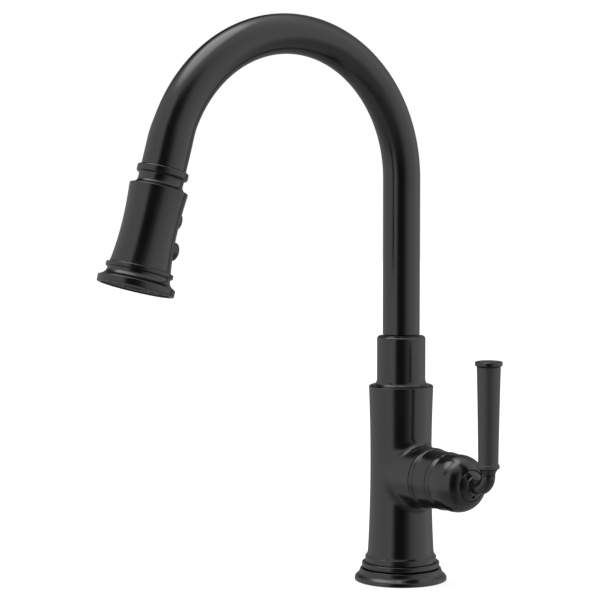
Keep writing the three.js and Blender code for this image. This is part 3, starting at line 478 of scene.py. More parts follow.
def deck():
    fit(turned("gasket", washer(19, 32.5, 0, 1.2, 0.2, 0.2)), "root", "rubber", "deck_gasket")
    flange = outline(
        (32.8, 0), (35, 0, 0.2), (35, 2.7, 3.0), (31.85, 5.4, 5.0), (30.6, 9.1, 0.7),
        (AROUND_SHANK, 9.1), (AROUND_SHANK, 1.5), (32.8, 1.5))
    fit(turned("flange", flange, sides=160), "root", "matte_black", "base_flange")
    bead = outline((AROUND_SHANK, 9.4), (29.45, 9.4, 1.4), (29.45, 13.85, 0.8), (AROUND_SHANK, 13.85))
    fit(turned("bead", bead, sides=160), "root", "matte_black", "bead_ring")

    shank = threaded("shank", 16.5, 13.5, SHANK_FOOT, 5, 26.8, 1.5)
    fit(shank, "root", "brass", "threaded_shank")
    seal = washer(AROUND_SHANK, 27, DECK_UNDER - 2, DECK_UNDER, 0.3, 0.3)
    fit(turned("seal_washer", seal), "root", "rubber", "deck_seal_washer")
    clamp = washer(AROUND_SHANK, 28, DECK_UNDER - 4.3, DECK_UNDER - 2.3, 0.2, 0.3)
    fit(turned("clamp_washer", clamp), "root", "steel", "mounting_washer")
    nut = washer(AROUND_SHANK, NUT_RADIUS, NUT_BOTTOM, NUT_TOP, 0.5, 1)
    past = 5.0                                   # how far the cutters reach past the nut
    hole = [(0, NUT_BOTTOM - past), (2.6, NUT_BOTTOM - past), (2.6, NUT_TOP + past), (0, NUT_TOP + past)]
    holes = [turned("hole", hole, Matrix.Translation((0, side * SCREW_CIRCLE, 0)), 32, solid=True)
             for side in (-1, 1)]
    notches = [notch(angle, 6.5, past) for angle in (0, math.pi)]
    fit(cut(turned("clamp_nut", nut), *holes, *notches), "root", "brass", "mounting_nut")
    screws = ring_of_copies("thrust_screw_pair", thrust_screw(), 2, SCREW_CIRCLE, quarter_turn=True)
    fit(screws, "root", "steel", "thrust_screw_front", "thrust_screw_rear")


def notch(angle, width, past):
    """A cutter that takes a flat-bottomed spanner notch out of the clamp nut's rim."""
    inner = NUT_RADIUS - 2.2
    outer = NUT_RADIUS + 3
    half = width / 2
    corners = [(inner, -half), (outer, -half), (outer, half), (inner, half)]
    rings = [np.array([(x, y, z) for x, y in corners]) for z in (NUT_BOTTOM - past, NUT_TOP + past)]
    return skin("notch", rings, Matrix.Rotation(angle, 4, "Z"))


def threaded(name, radius, bore, bottom, thread_top, top, pitch, sides=72, depth=0.75):
    """A tube with an outside thread from its bottom to a height, as one helical grid."""
    runout = 2.0
    heights = np.arange(bottom + 0.4, thread_top, pitch / 6)
    rings = [ring(bore, bottom, sides), ring(radius - depth - 0.2, bottom, sides)]
    angles = np.arange(sides) / sides
    for height in heights:
        wave = np.abs((height / pitch - angles) % 1 * 2 - 1)
        fade = min(1.0, (height - bottom) / runout, (thread_top - height) / runout)
        radii = radius - depth * (1 - wave) * fade - depth * (1 - fade) * 0.5
        rings.append(np.stack([
            radii * np.cos(2 * math.pi * angles), radii * np.sin(2 * math.pi * angles),
            np.full(sides, height)], axis=1))
    rings += [ring(radius, thread_top + 0.5, sides), ring(radius, top, sides), ring(bore, top, sides)]
    return skin(name, rings, looped=True)


def thrust_screw():
    """A threaded screw with a six-sided head, at the middle of the deck hole."""
    under_head = -49.6
    thread = threaded("screw_thread", 2.3, 0.4, under_head, -36, NUT_TOP, 0.8, 24, 0.3)
    corners = [(3.5, -53.1), (3.9, -52.7), (3.9, -50), (3.5, under_head)]
    head = skin("screw_head", [ring(radius, height, 6) for radius, height in corners])
    return joined("thrust_screw", thread, head)


# ---------------------------------------------------------------- copies by Geometry Nodes

def tree_with(name, **inputs):
    """A Geometry Nodes tree with a geometry and named inputs, its own nodes still to come."""
    tree = bpy.data.node_groups.new(name, "GeometryNodeTree")
    tree.interface.new_socket("Geometry", in_out="INPUT", socket_type="NodeSocketGeometry")
    for label, kind in inputs.items():
        tree.interface.new_socket(label, in_out="INPUT", socket_type=f"NodeSocket{kind}")
    tree.interface.new_socket("Geometry", in_out="OUTPUT", socket_type="NodeSocketGeometry")
    return tree, tree.nodes.new("NodeGroupInput"), tree.nodes.new("NodeGroupOutput")


def wire(tree, kind, inputs, **settings):
    """Adds one node to a tree, with its settings and then a value or a link for each socket."""
    made = tree.nodes.new(kind)
    for name, value in settings.items():
        setattr(made, name, value)
    for name, value in inputs.items():
        if isinstance(value, bpy.types.NodeSocket):
            tree.links.new(value, made.inputs[name])
        else:
            made.inputs[name].default_value = value
    return made


def finished_tree(tree, geometry, given, result):
    """Ends a tree: its instances become plain mesh and get their material."""
    real = wire(tree, "GeometryNodeRealizeInstances", {"Geometry": geometry})
    coated = wire(tree, "GeometryNodeSetMaterial",
                  {"Geometry": real.outputs[0], "Material": given.outputs["Material"]})
    tree.links.new(coated.outputs[0], result.inputs[0])
    return tree


def ring_tree():
    """Copies of a shape at even steps round a circle."""
    tree, given, result = tree_with(
        "copies_round_a_circle", Count="Int", Radius="Float", Start="Float", Material="Material")
    number = wire(tree, "GeometryNodeInputIndex", {})
    share = wire(tree, "ShaderNodeMath",
                 {0: number.outputs[0], 1: given.outputs["Count"]}, operation="DIVIDE")
    angle = wire(tree, "ShaderNodeMath", {
        0: share.outputs[0], 1: 2 * math.pi, 2: given.outputs["Start"]}, operation="MULTIPLY_ADD")
    east = wire(tree, "ShaderNodeMath", {0: angle.outputs[0]}, operation="COSINE")
    north = wire(tree, "ShaderNodeMath", {0: angle.outputs[0]}, operation="SINE")
    way = wire(tree, "ShaderNodeCombineXYZ", {"X": east.outputs[0], "Y": north.outputs[0]})
    spot = wire(tree, "ShaderNodeVectorMath",
                {0: way.outputs[0], "Scale": given.outputs["Radius"]}, operation="SCALE")
    points = wire(tree, "GeometryNodePoints",
                  {"Count": given.outputs["Count"], "Position": spot.outputs[0]})
    copies = wire(tree, "GeometryNodeInstanceOnPoints",
                  {"Points": points.outputs[0], "Instance": given.outputs["Geometry"]})
    return finished_tree(tree, copies.outputs[0], given, result)


def screen_tree():
    """Wires across a round opening in both directions, each as long as the circle allows."""
    tree, given, result = tree_with(
        "woven_screen", Count="Int", Radius="Float", Lift="Float", Material="Material")
    count, radius, lift = (given.outputs[label] for label in ("Count", "Radius", "Lift"))
    outermost = 0.94                             # where the last wire lies, as a share of the radius
    start = wire(tree, "ShaderNodeMath", {0: radius, 1: -outermost}, operation="MULTIPLY")
    end = wire(tree, "ShaderNodeMath", {0: radius, 1: outermost}, operation="MULTIPLY")
    first = wire(tree, "ShaderNodeCombineXYZ", {"Y": start.outputs[0]})
    last = wire(tree, "ShaderNodeCombineXYZ", {"Y": end.outputs[0]})
    line = wire(tree, "GeometryNodeMeshLine", {
        "Count": count, "Start Location": first.outputs[0], "Offset": last.outputs[0]}, mode="END_POINTS")
    where = wire(tree, "GeometryNodeInputPosition", {})
    offset = wire(tree, "ShaderNodeSeparateXYZ", {0: where.outputs[0]})
    share = wire(tree, "ShaderNodeMath", {0: offset.outputs["Y"], 1: radius}, operation="DIVIDE")
    square = wire(tree, "ShaderNodeMath", {0: share.outputs[0], 1: 2.0}, operation="POWER")
    rest = wire(tree, "ShaderNodeMath", {0: 1.0, 1: square.outputs[0]}, operation="SUBTRACT")
    reach = wire(tree, "ShaderNodeMath", {0: rest.outputs[0]}, operation="SQRT")
    length = wire(tree, "ShaderNodeCombineXYZ", {"X": reach.outputs[0], "Y": 1.0, "Z": 1.0})
    wires = wire(tree, "GeometryNodeInstanceOnPoints", {
        "Points": line.outputs[0], "Instance": given.outputs["Geometry"], "Scale": length.outputs[0]})
    up = wire(tree, "ShaderNodeCombineXYZ", {"Z": lift})
    crossing = wire(tree, "GeometryNodeTransform", {
        "Geometry": wires.outputs[0], "Translation": up.outputs[0], "Rotation": (0, 0, math.pi / 2)})
    both = tree.nodes.new("GeometryNodeJoinGeometry")
    for part in (wires, crossing):
        tree.links.new(part.outputs[0], both.inputs[0])
    return finished_tree(tree, both.outputs[0], given, result)


def grown(made, name, tree, **values):
    """Runs a tree on a piece and keeps the result as a plain mesh."""
    modifier = made.modifiers.new("copies", "NODES")
    modifier.node_group = tree
    sockets = {item.name: item.identifier for item in tree.interface.items_tree if item.in_out == "INPUT"}
    for label, value in values.items():
        modifier[sockets[label]] = value
    settle(made)
    made.name = name
    return made


def ring_of_copies(name, template, count, radius, slot="steel", quarter_turn=False):
    """Copies of a piece round +Z, the first on +X, or on +Y with a quarter turn."""
    start = math.pi / 2 if quarter_turn else 0.0
    return grown(template, name, trees["ring"], Count=count, Radius=radius * MM, Start=start,
                 Material=finishes[slot])


trees = {"ring": ring_tree(), "screen": screen_tree()}


# ---------------------------------------------------------------- body

def shaft_radius(height):
    return waisted(24.9, 24.8, 23.2, 90, 24.4, 147.6, height)


def on_shaft(angle, height):
    radius = shaft_radius(height)
    return np.array([radius * math.cos(angle), radius * math.sin(angle), height])


def body():
    """The body's skin is one grid. A window in it is filled by rings that leave the shaft in a
    tangent fillet and run out along the valve arm."""
    columns = 144
    window = 40                                  # columns on each side of the arm's axis
    reach = 34                                   # the window's height on each side of the axis
    levels = (24.8, VALVE - reach, VALVE + reach, 147)
    foot = outline((0, BODY_BASE), (27, BODY_BASE, 0.3), (27, 18.4, 0.4), (25.6, 18.7))[1:-1]
    foot += bezier((26.55, 18.5), (25.6, 19.8), (24.95, 21.2), (24.9, 24.8), count=10)
    shoulder = outline((24.38, 146.6), (24.4, BODY_TOP, 0.6), (17, BODY_TOP))[1:-1]
    shaft = []
    for start, end, count in zip(levels, levels[1:], (13, 35, 16)):
        shaft += [(shaft_radius(height), height) for height in np.linspace(start, end, count)[1:]]
    profile = foot + shaft + shoulder
    rows = [ring(radius, height, columns) for radius, height in profile]
    heights = [height for _, height in profile]
    first, last = (int(np.argmin(np.abs(np.array(heights) - level))) for level in levels[1:3])
    points = [*np.concatenate(rows), np.array([0, 0, BODY_BASE]), np.array([0, 0, BODY_TOP])]
    bottom_pole = len(rows) * columns
    top_pole = bottom_pole + 1

    def at(row, column):
        return row * columns + column % columns

    faces = []
    for row in range(len(rows) - 1):
        for column in range(columns):
            signed = column if column < columns / 2 else column - columns
            if first <= row < last and -window <= signed < window:
                continue
            faces.append((at(row, column), at(row, column + 1),
                          at(row + 1, column + 1), at(row + 1, column)))
    for column in range(columns):
        faces.append((bottom_pole, at(0, column + 1), at(0, column)))
        faces.append((top_pole, at(len(rows) - 1, column), at(len(rows) - 1, column + 1)))

    border = [(first, c) for c in range(-window, window)]
    border += [(r, window) for r in range(first, last)]
    border += [(last, c) for c in range(window, -window, -1)]
    border += [(r, -window) for r in range(last, first, -1)]
    steps = [column_rings(math.radians(360 / columns * c), heights[r]) for r, c in border]
    inner = np.array(steps).transpose(1, 0, 2)
    start = len(points)
    count = len(border)
    points += list(inner.reshape(-1, 3))
    loops = [[start + k * count + i for i in range(count)] for k in range(len(inner))]
    loops.append([at(r, c) for r, c in border])
    for near, far in zip(loops, loops[1:]):
        for i in range(count):
            j = (i + 1) % count
            faces.append((near[i], far[i], far[j], near[j]))
    tip = len(points)
    points.append(np.array([60.0, 0, VALVE]))
    for i in range(count):
        faces.append((tip, loops[0][i], loops[0][(i + 1) % count]))
    shell = mesh_object("body_skin", np.array(points), faces)

    stack = turned("stack_bore", [
        (0, 5), (16.8, 5), (16.8, 28), (20.8, 28), (20.8, 107.7), (15, 107.7), (15, 111.7), (17.2, 111.7),
        (17.2, 160), (0, 160)], sides=96, solid=True)
    bore = turned("arm_bore", [(0, 5.5), (17.8, 5.5), (17.8, 70), (0, 70)], ARM, 96, solid=True)
    fit(cut(shell, stack, bore), "root", "matte_black", "body_shell")


def column_rings(angle, height):
    """One line of the arm's skin, from the tip of its neck to a point on the window's border."""
    turn = math.atan2(height - VALVE, angle * SHAFT_MIDDLE)
    y = math.cos(turn)
    z = math.sin(turn)
    joint_height = VALVE + HORN * z
    joint_angle = math.asin(HORN * y / shaft_radius(joint_height))
    joint = on_shaft(joint_angle, joint_height)
    path = np.array([angle - joint_angle, height - joint_height])
    length = math.hypot(path[0] * SHAFT_MIDDLE, path[1])

    def along(share):
        return on_shaft(joint_angle + path[0] * share, joint_height + path[1] * share)

    share = HORN_FILLET / length
    end = along(share)
    back = along(share - 0.01) - end
    back = back / np.linalg.norm(back)
    start = joint + np.array([HORN_FILLET, 0, 0])
    hold = 0.6 * HORN_FILLET
    bend = bezier(start, start - np.array([hold, 0, 0]), end + back * hold, end, count=12)
    seam = outline((19.4, 0), (19.4, HORN_END), (HORN, HORN_END, 0.25), (HORN, 0))[1:-1]
    line = [(60.0, 18.9), (59.5, 19.4), (59, 19.4)] + [(x, r) for r, x in seam]
    points = [np.array([x, r * y, VALVE + r * z]) for x, r in line]
    straight = points[-1]
    points += [straight + (start - straight) * k / 4 for k in (1, 2, 3)]
    points += [np.array(point) for point in bend]
    points += [along(share + (1 - share) * k / 10) for k in range(1, 10)]
    return points


# ---------------------------------------------------------------- valve arm and lever

def arm():
    band = outline((19.7, 36.3), (22.9, 36.3, 0.3), (22.9, 37.2))[:-1]
    band += bezier((22.9, 37.2), (22.9, 38.4), (22.3, 39.3), (21.95, 39.7), count=8)
    band += outline((21.85, 40.2), (21.75, 46), (21.4, 52.8, 0.2), (19.7, 52.8))
    fit(turned("arm_band", band, ARM, 160), "root", "matte_black", "trim_band")
    front = bezier((21.5, 66), (21.5, 73.5), (18.2, 79.8), (12.1, 81.9), count=22)
    inside = ball_line(15.75, 48, 84, 12) + [(17.6, 69.5), (18.6, 67)]
    lip = outline((19.7, 53.6), (21.8, 53.6, 0.3), (21.85, 54.4))[:-1]
    dome = lip + bezier((21.85, 54.4), (21.85, 56.2), (21.3, 58), (21.15, 58.5), count=8)
    dome += [(21.15, 58.8), (21.3, 61.5)] + front
    dome += [(11.9, 81.8)] + inside + [(18.6, 61.3), (19.7, 61.3)]
    fit(turned("arm_dome", dome, ARM, 160), "root", "matte_black", "bonnet_dome")


def ball_line(radius, start, end, count):
    """An arc round the lever's ball, as (radius, reach) from the arm's axis."""
    angles = np.linspace(math.radians(start), math.radians(end), count)
    return [(float(radius * math.sin(a)), float(PIVOT + radius * math.cos(a))) for a in angles]


def lever():
    sides = 96
    neck = outline((9.9, 83.1), (7.2, 84.5, 1.0), (7.2, 86.2, 0.6), (ELBOW, 86.2, 0.4),
                   (ELBOW, 87.1))[1:-1]
    cap = ball_line(12, 0.01, 78, 20) + ball_line(15.6, 80, 40, 24) + neck
    rings = [ring(r, x, sides) for r, x in cap]
    arm_turn = np.array(Matrix.Rotation(math.pi / 2, 3, "Y"))
    rings = [row @ arm_turn.T for row in rings]
    rings[0] = rings[0][:1] * np.array([1, 0, 0])
    for angle in np.linspace(0, math.pi / 2, 15):
        across = math.sin(angle)
        down = -math.cos(angle)
        centre = (LEVER - ELBOW_BEND + ELBOW_BEND * across, 0, ELBOW_BEND + ELBOW_BEND * down)
        rings.append(tilted_ring(centre, (across, 0, down), (0, 1, 0), ELBOW, sides))
    flare = bezier((ELBOW, 10.6), (5.35, 12.2), (6.1, 13.3), (6.75, 14.2), count=8)
    for radius, height in flare + [(6.7, 14.3), (PEG, 14.3), (PEG, 28.3)]:
        rings.append(tilted_ring((LEVER, 0, height), (-1, 0, 0), (0, 1, 0), radius, sides))
    elbow = skin("elbow_casting", rings, Matrix.Translation((0, 0, VALVE)))
    socket = turned("socket", [(0, 60), (1.5, 60), (1.5, 81), (0, 81)],
                    Matrix.Translation((84.8, 0, 0)), 32, solid=True)
    bore = turned("stem_bore", [(0, 78), (3.5, 78), (3.5, 93.3), (0, 93.3)], ARM, 48, solid=True)
    fit(cut(elbow, bore, socket), "lever", "matte_black", "lever_elbow")

    taper = [(7.4 + 1.3 * share ** 1.3, 18.9 + 69.4 * share) for share in np.arange(21) / 20]
    grip = outline((GRIP_BORE, 14.6), (6.8, 14.6, 0.1), (8.3, 15.2, 0.7), (8.3, 17.8, 0.8),
                   (7.4, 18.2, 0.3), (7.4, 18.9))[:-1] + taper
    grip += outline((GRIP_BORE, 80), (8.7, 80), (8.7, 89.3, 0.3), (GRIP_BORE, 89.3))[2:]
    grip += [(GRIP_BORE, 75.3), (1.5, 74.5), (1.5, 30.2), (GRIP_BORE, 29.3)]
    # The grip's coat is rougher and painted lighter than the rest of the black: painted light.
    fit(turned("grip", grip, GRIP, 112), "lever", "matte_black", "lever_grip", coat=rough_grip_coat_painted_lighter)
    rim = 10.05
    crown = [(rim * 0.9 * share, 93.7 - 0.6 * share ** 2) for share in np.arange(9) / 8]
    cap = [(0, 76.3), (PEG, 76.3)]
    cap += outline((PEG, 80), (PEG, 89.6), (rim, 89.6, 1.2), (rim, 93.1, 1.3),
                   (9.1, 93.15))[1:-1]
    cap += crown[::-1]
    fit(turned("grip_cap", cap, GRIP, 112, solid=True), "lever", "matte_black", "lever_end_cap")


# ---------------------------------------------------------------- spout

def arch_station(angle, past=0.0):
    """Middle and direction of the spout's line, at an angle round the arch or past its end."""
    along = np.array([0, -math.sin(angle), math.cos(angle)])
    centre = np.array([0, ARCH * (math.cos(angle) - 1), ARCH_CENTRE + ARCH * math.sin(angle)])
    return centre + along * past, along


def tube_ring(station, radius, sides):
    """A circle of points square to the spout's line."""
    centre, along = station
    return tilted_ring(centre, (1, 0, 0), np.cross((1, 0, 0), along), radius, sides)


def tube_radius(angle):
    """The tube widens slowly round the arch, and swells once more before its mouth."""
    slow = TUBE * (1 + 0.11 * (angle / math.pi) ** 1.48)
    left = (ARCH_TURN - angle) * ARCH
    share = max(0.0, (MOUTH_FLARE - left) / MOUTH_FLARE)
    return slow + (MOUTH_RADIUS - slow) * share * share * (3 - 2 * share)


def spout():
    collar = [(16.7, 148.8), (23.15, 148.8), (23.2, 148.88)]
    collar += bezier((22.9, 148.97), (19.6, 149.1), (18.7, 150.5), (18.35, 153.4), count=14)
    collar += outline((18.35, 153.4), (18.35, 186.4, 2.4), (14.3, 186.4))[1:]
    collar += [(14.3, 178.7), (16.7, 178.7)]
    fit(turned("spout_sleeve", collar, sides=160), "spout", "matte_black", "spout_collar")

    sides = 80
    heights = [158.7, 175, 186.3, 186.5, 187.2, 187.9, 188.1, *np.arange(190, 304, 12)]
    groove = {187.2: TUBE - 0.7}                 # a shallow groove at the collar's mouth
    stations = [(arch_station(0, z - ARCH_CENTRE), groove.get(z, TUBE)) for z in heights]
    for angle in np.linspace(0, ARCH_TURN, 110):
        stations.append((arch_station(angle), tube_radius(angle)))
    for past in (4, 12, 19.0, 19.5):
        stations.append((arch_station(ARCH_TURN, past), MOUTH_RADIUS))
    stations.append((arch_station(ARCH_TURN, MOUTH), MOUTH_RADIUS - 0.2))
    rings = [tube_ring(station, radius, sides) for station, radius in stations]
    rings += [tube_ring(station, radius - TUBE_WALL, sides) for station, radius in reversed(stations)]
    fit(skin("gooseneck", rings, looped=True), "spout", "matte_black", "spout_tube")


def hose():
    """The braided hose in two lengths. One lies from the foot of the shank to the end of the arch.
    The other goes on to the nut."""
    sides = 32
    stations = [arch_station(0, z - ARCH_CENTRE) for z in np.linspace(-57, 304, 24)]
    stations += [arch_station(angle) for angle in np.linspace(0, ARCH_TURN, 60)]
    laid = skin("braided_hose", [tube_ring(station, HOSE, sides) for station in stations])
    fit(laid, "spout", "hose_braid", "spray_hose")

    stretch = 10                                 # stretch = 10 # the first length past the arch's end, laid with close rings
    stations = [arch_station(ARCH_TURN, past) for past in [*np.linspace(0, stretch, 40), MOUTH]]
    drawn = skin("drawn_hose", [tube_ring(station, HOSE, sides) for station in stations])
    drawn.data.materials.append(finishes["hose_braid"])
    start = arch_station(ARCH_TURN, 0.2)[0] * MM
    end = arch_station(ARCH_TURN, stretch)[0] * MM
    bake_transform(drawn)
    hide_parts("spray_hose")


# ---------------------------------------------------------------- spray head

def dock():
    bead = outline((16.3, 20.0), (18.2, 20.0, 1.0), (18.2, 25.2, 1.4), (15.95, 25.5))[:-1]
    neck = bezier((16.4, 25.45), (15.95, 26.1), (15.95, 28.2), count=6)
    foot = bezier((15.95, 29.2), (15.95, 31.6), (17.7, 32.7), count=10)
    collar = [(12.3, 7.7), (14.0, 7.7), (14.0, 20.0)] + bead + neck + foot
    collar += [(17.9, 32.95), (17.8, 33.2), (14.2, 33.2), (14.2, 27), (12.3, 27)]
    fit(turned("dock_bead", collar, HEAD, 128), "spout", "matte_black", "dock_collar")
    liner = outline((8.6, 7.7, 0.5), (12, 7.7), (12, 27), (8.6, 27, 0.8))
    fit(turned("hose_guide", liner, HEAD, 96), "spout", "white_plastic", "dock_liner")
    magnet = outline((8.8, 27.3, 0.3), (13.9, 27.3), (13.9, 32, 0.4), (8.8, 32, 0.6))
    fit(turned("dock_magnet_ring", magnet, HEAD, 96), "spout", "steel", "dock_magnet")

    nut = outline((6.3, 10), (7, 10, 0.3), (8.2, 13, 1), (8.2, 32, 0.4), (6.6, 32), (6.6, 43.2, 0.3),
                  (3.6, 43.2, 0.2), (3.6, 20), (6.3, 20))
    fit(turned("hose_coupling", nut, HEAD, 96), "hose_end", "brass", "hose_nut")


def shell_radius(along):
    return waisted(20.75, 35.2, 19.55, 61, 21.6, 90.2, along)


def stadium(half_width, half_height, inset, depth, sides=96):
    """An oval of points across the head, facing the body, with its edge drawn in by an inset."""
    radius = half_height - inset
    side = half_width - half_height
    angles = np.arange(sides) * 2 * math.pi / sides
    x = radius * np.cos(angles) + side * np.tanh(6 * np.cos(angles)) / math.tanh(6)
    return np.stack([x, np.full(sides, -depth), radius * np.sin(angles)], axis=1)


def button(name, at, pressed):
    """A rocker button: an oval post with a rounded edge and a dished thumb face, on a round stem
    whose foot rests on the rocker. Pressed is how far it is pushed in."""
    out = shell_radius(at) + KEY_PROUD - pressed
    back = 16.55 - pressed
    rounding = 1.6
    rim = [(0.4, back), (0, back + 0.4)]
    for angle in np.linspace(0, math.pi / 2, 9):
        rim.append((rounding * (1 - math.cos(angle)), out - rounding + rounding * math.sin(angle)))
    dish = [(2.2, 0.02), (3.2, 0.12), (4.4, 0.25), (5.6, 0.33), (6.6, 0.36)]
    rim += [(inset, out - depth) for inset, depth in dish]
    post = skin(name, [stadium(8.0, 6.75, inset, depth) + np.array([0, 0, at]) for inset, depth in rim],
                HEAD)
    foot = 6.5 + KEY_TRAVEL / 2 - pressed
    line = [(0, foot), (1.2, foot), (1.2, foot + 2.4), (3.2, foot + 2.4), (3.2, back + 0.6), (0, back + 0.6)]
    inward = Matrix.Translation((0, 0, at)) @ Matrix.Rotation(math.pi / 2, 4, "X")
    return joined(name, post, turned("stem", line, HEAD @ inward, 40, solid=True))


def head():
    side = [(shell_radius(s), float(s)) for s in np.linspace(36, 87.4, 40)]
    top = outline((8.6, 33.7, 0.3), (20.7, 33.7, 0.8), (20.75, 36))[:-1]
    foot = outline((shell_radius(88), 88), (21.8, 90.45, 0.05), (19.1, 90.45, 0.3), (19.05, 88))[:-1]
    inner = [(r - 2.2, s) for r, s in side[::-1] if s > 37.5]
    shell = turned("spray_skin", top + side + foot + inner + [(18.4, 36.2), (8.6, 36.2)], HEAD, 160)
    windows = []
    for at in (UPPER_KEY, LOWER_KEY):
        rings = [stadium(8.3, 7.05, 0, depth) + np.array([0, 0, at]) for depth in (14, 19, 26)]
        rings.append(stadium(8.3, 7.05, -1.2, 40) + np.array([0, 0, at]))
        windows.append(skin("window", rings, HEAD))
    fit(cut(shell, *windows), "wand", "matte_black", "spray_shell")
    fit(button("upper_key_cap", UPPER_KEY, KEY_TRAVEL), "upper_key", "matte_black", "upper_button")
    fit(button("lower_key_cap", LOWER_KEY, 0), "lower_key", "matte_black", "lower_button")

    catch = washer(9.7, 17.05, 36.5, 39, 0.3, 0.3)
    fit(turned("catch_plate", catch, HEAD, 96), "wand", "steel", "catch_ring")

    ring_line = outline((16.8, 83.9), (18.3, 83.9, 0.3), (18.3, 90.5), (21.75, 90.5))
    ring_line += bezier((21.75, 90.7), (21.8, 91.1), (22.4, 91.2), (23.0, 91.25), count=6)
    ring_line += outline((23.0, 91.25), (23.9, 91.35, 0.4), (23.9, 94.3, 0.8), (22.4, 94.6))[1:-1]
    ring_line += bezier((22.4, 94.6), (22.2, 96.0), (22.2, 98.0), (24.4, 99.9), (26.4, 100.8), count=16)
    ring_line += outline((26.4, 100.8), (27.5, 101.3, 1.0), (27.5, 106.3, 0.9), (24.8, 106.3, 0.3),
                         (24.3, 106), (24.3, 101.3), (22.9, 101.3), (22.9, 99.8), (16.8, 96.5))[1:]
    fit(turned("outlet_ring", ring_line, HEAD, 160), "wand", "matte_black", "face_ring")
    outlet()


def outlet():
    plate = outline((8.9, 101.6, 0.2), (24, 101.6), (24, 105.4, 0.3), (8.9, 105.4, 0.3))
    face = turned("outlet_plate", plate)
    rows = [face]
    for radius, count in ((13, 8), (18.5, 14)):
        nub = turned("nub", outline((0.45, 103.6), (1.5, 103.6), (1.15, 105.4), (0.8, 106.0, 0.15),
                                    (0.45, 106.0, 0.1)), sides=20)
        rows.append(ring_of_copies("nubs", nub, count, radius, "face_rubber"))
    made = joined("spray_face", *rows)
    placed(made, HEAD)
    fit(made, "wand", "face_rubber", "nozzle_face")

    case = turned("case", outline((6.6, 88.8), (7.7, 88.8), (7.7, 101.6), (8.6, 101.6), (8.6, 104.7, 0.3),
                                  (6.7, 104.7, 0.3), (6.3, 103.7)), sides=96)
    wire_line = turned("strand", [(0, -6.4), (0.16, -6.4), (0.16, 6.4), (0, 6.4)],
                       Matrix.Rotation(math.pi / 2, 4, "Y"), 8, solid=True)
    screen = grown(wire_line, "screen", trees["screen"], Count=15, Radius=6.5 * MM, Lift=0.3 * MM,
                   Material=finishes["black_plastic"])
    screen.data.transform(Matrix.Translation((0, 0, 103.4 * MM)))
    backing = turned("backing", [(0, 89), (6.7, 89), (6.7, 92), (0, 92)], sides=64, solid=True)
    made = joined("flow_screen", case, screen, backing)
    placed(made, HEAD)
    fit(made, "wand", "black_plastic", "aerator")


def placed(made, place):
    """Moves a piece that was made round the origin to its place."""
    moved = place.copy()
    moved.translation = place.translation * MM
    made.data.transform(moved)
    soften(made)


# ---------------------------------------------------------------- studio

CAMERA_AT = Vector((1.3152996, -1.0785972, 0.3498246))    # in metres
CAMERA_TURN = 0.928979           # turn of the view about +Z, radians
CAMERA_PITCH = 0.0801429         # how far the view looks down
CAMERA_ROLL = -0.00105728


def camera():
    forward = Vector((-math.sin(CAMERA_TURN) * math.cos(CAMERA_PITCH),
                      math.cos(CAMERA_TURN) * math.cos(CAMERA_PITCH), -math.sin(CAMERA_PITCH)))
    level = Vector((math.cos(CAMERA_TURN), math.sin(CAMERA_TURN), 0))
    above = level.cross(forward)
    right = level * math.cos(CAMERA_ROLL) + above * math.sin(CAMERA_ROLL)
    up = above * math.cos(CAMERA_ROLL) - level * math.sin(CAMERA_ROLL)
    data = bpy.data.cameras.new("camera")
    data.sensor_width = 36
    data.lens = 135.378
    data.clip_start = 0.05
    data.clip_end = 50
    made = bpy.data.objects.new("camera", data)
    turned_to = Matrix((right, up, -forward)).transposed().to_4x4()
    made.matrix_world = Matrix.Translation(CAMERA_AT) @ turned_to
    scene.collection.objects.link(made)
    scene.camera = made


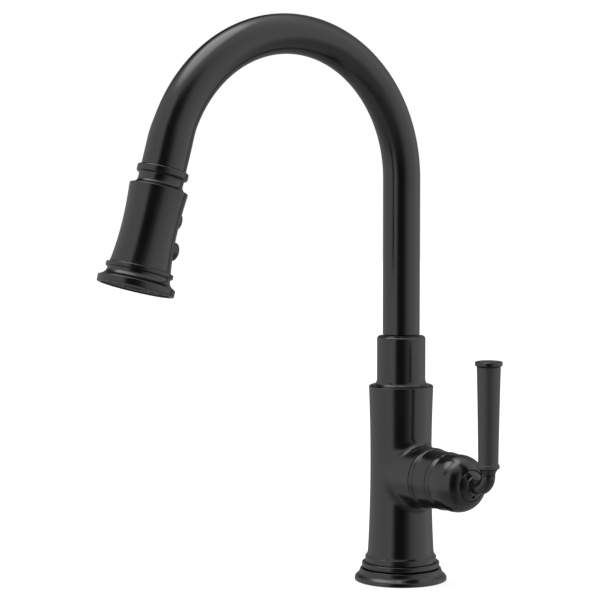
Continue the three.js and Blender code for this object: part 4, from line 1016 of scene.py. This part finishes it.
def studio():
    """A room of soft light: wide soft boxes on the left and right, one above, a dark gap in front
    between them, and a fall-off behind. What the camera sees of it directly is plain white."""
    world = bpy.data.worlds.new("studio")
    scene.world = world
    light = Shader(world)
    x, y, up = light.parts(light.node("ShaderNodeTexCoord").outputs["Generated"])
    side = x * math.cos(CAMERA_TURN) + y * math.sin(CAMERA_TURN)
    front = x * math.sin(CAMERA_TURN) - y * math.cos(CAMERA_TURN)
    azimuth = light.math("ARCTAN2", side, front) * (180 / math.pi)
    # Brightness level with the object, against the angle from the camera, left below nothing.
    level = [(-180, 0.15), (-160, 0.25), (-145, 0.48), (-125, 0.72), (-105, 1.0), (-85, 1.15), (-60, 1.25),
             (-44, 1.4), (-35, 1.3), (-25, 0.12), (-20, 0.03), (-8, 0.02), (6, 0.03), (20, 0.25),
             (36, 0.9), (56, 1.2), (76, 1.3), (107, 1.2), (137, 0.45), (157, 0.25), (180, 0.15)]
    ramp = light.tree.nodes.new("ShaderNodeValToRGB")
    brightest = 1.4
    stops = ramp.color_ramp.elements
    while len(stops) < len(level):
        stops.new(0.5)
    for stop, (angle, value) in zip(stops, level):
        stop.position = (angle + 180) / 360
        stop.color = grey(value / brightest)
    light.tree.links.new((azimuth * (1 / 360) + 0.5).socket, ramp.inputs[0])
    high_behind = light.between(azimuth, -122, -152) * light.between(up, 0.15, 0.5)
    around = Value(light, ramp.outputs[0]) * brightest * (1 - 0.9 * high_behind)
    below = light.between(up, -0.12, -0.55)
    under = 0.3 + 0.25 * light.between(around, 0.0, 0.9)
    room = around * (1 - below) + under * below
    turn = math.radians(-110)                    # where the upper box hangs: round the object
    rise = math.radians(74)                      # and up from its foot
    toward = side * (math.sin(turn) * math.cos(rise)) + front * (math.cos(turn) * math.cos(rise))
    toward = toward + up * math.sin(rise)
    box = light.between(toward, math.cos(math.radians(30)), math.cos(math.radians(16)))
    sky = light.between(up, 0.62, 0.9)
    total = room * (1 - sky) + 1.3 * sky + 2.9 * box
    seen = Value(light, light.node("ShaderNodeLightPath").outputs["Is Camera Ray"])
    strength = total * (1 - seen) + 1.0 * seen
    back = light.node("ShaderNodeBackground", {"Color": grey(1), "Strength": strength})
    light.node("ShaderNodeOutputWorld", {"Surface": back.outputs[0]})


def floor():
    """A pale sheet under the faucet, a hair below the deck's face."""
    half = 3000
    low = -0.3
    made = mesh_object("floor", [(-half, -half, low), (half, -half, low), (half, half, low),
                                 (-half, half, low)], [(0, 1, 2, 3)])
    material = bpy.data.materials.new("pale_sheet")
    shader = Shader(material)
    surface = shader.node("ShaderNodeBsdfPrincipled", {
        "Base Color": grey(0.35), "Roughness": 0.9, "Specular IOR Level": 0.0,
        "Emission Color": grey(1), "Emission Strength": 0.72})
    shader.node("ShaderNodeOutputMaterial", {"Surface": surface.outputs[0]})
    made.data.materials.append(material)
    made.visible_glossy = False
    made.visible_diffuse = False
    made.visible_shadow = False


# ---------------------------------------------------------------- assembly

camera()
deck()
body()
arm()
lever()
spout()
hose()
dock()
head()
studio()
floor()

# The hidden inner pieces keep the CAD's own meshes and get the same finishes.
slots = {part["node"]: part["material_slot"] for part in frame["record"]["subparts"]}
for node, made in frame["nodes"].items():
    for place in made.material_slots:
        place.material = black_oxide if node == "lever_set_screw" else finishes[slots[node]]

scene.view_settings.view_transform = "Standard"
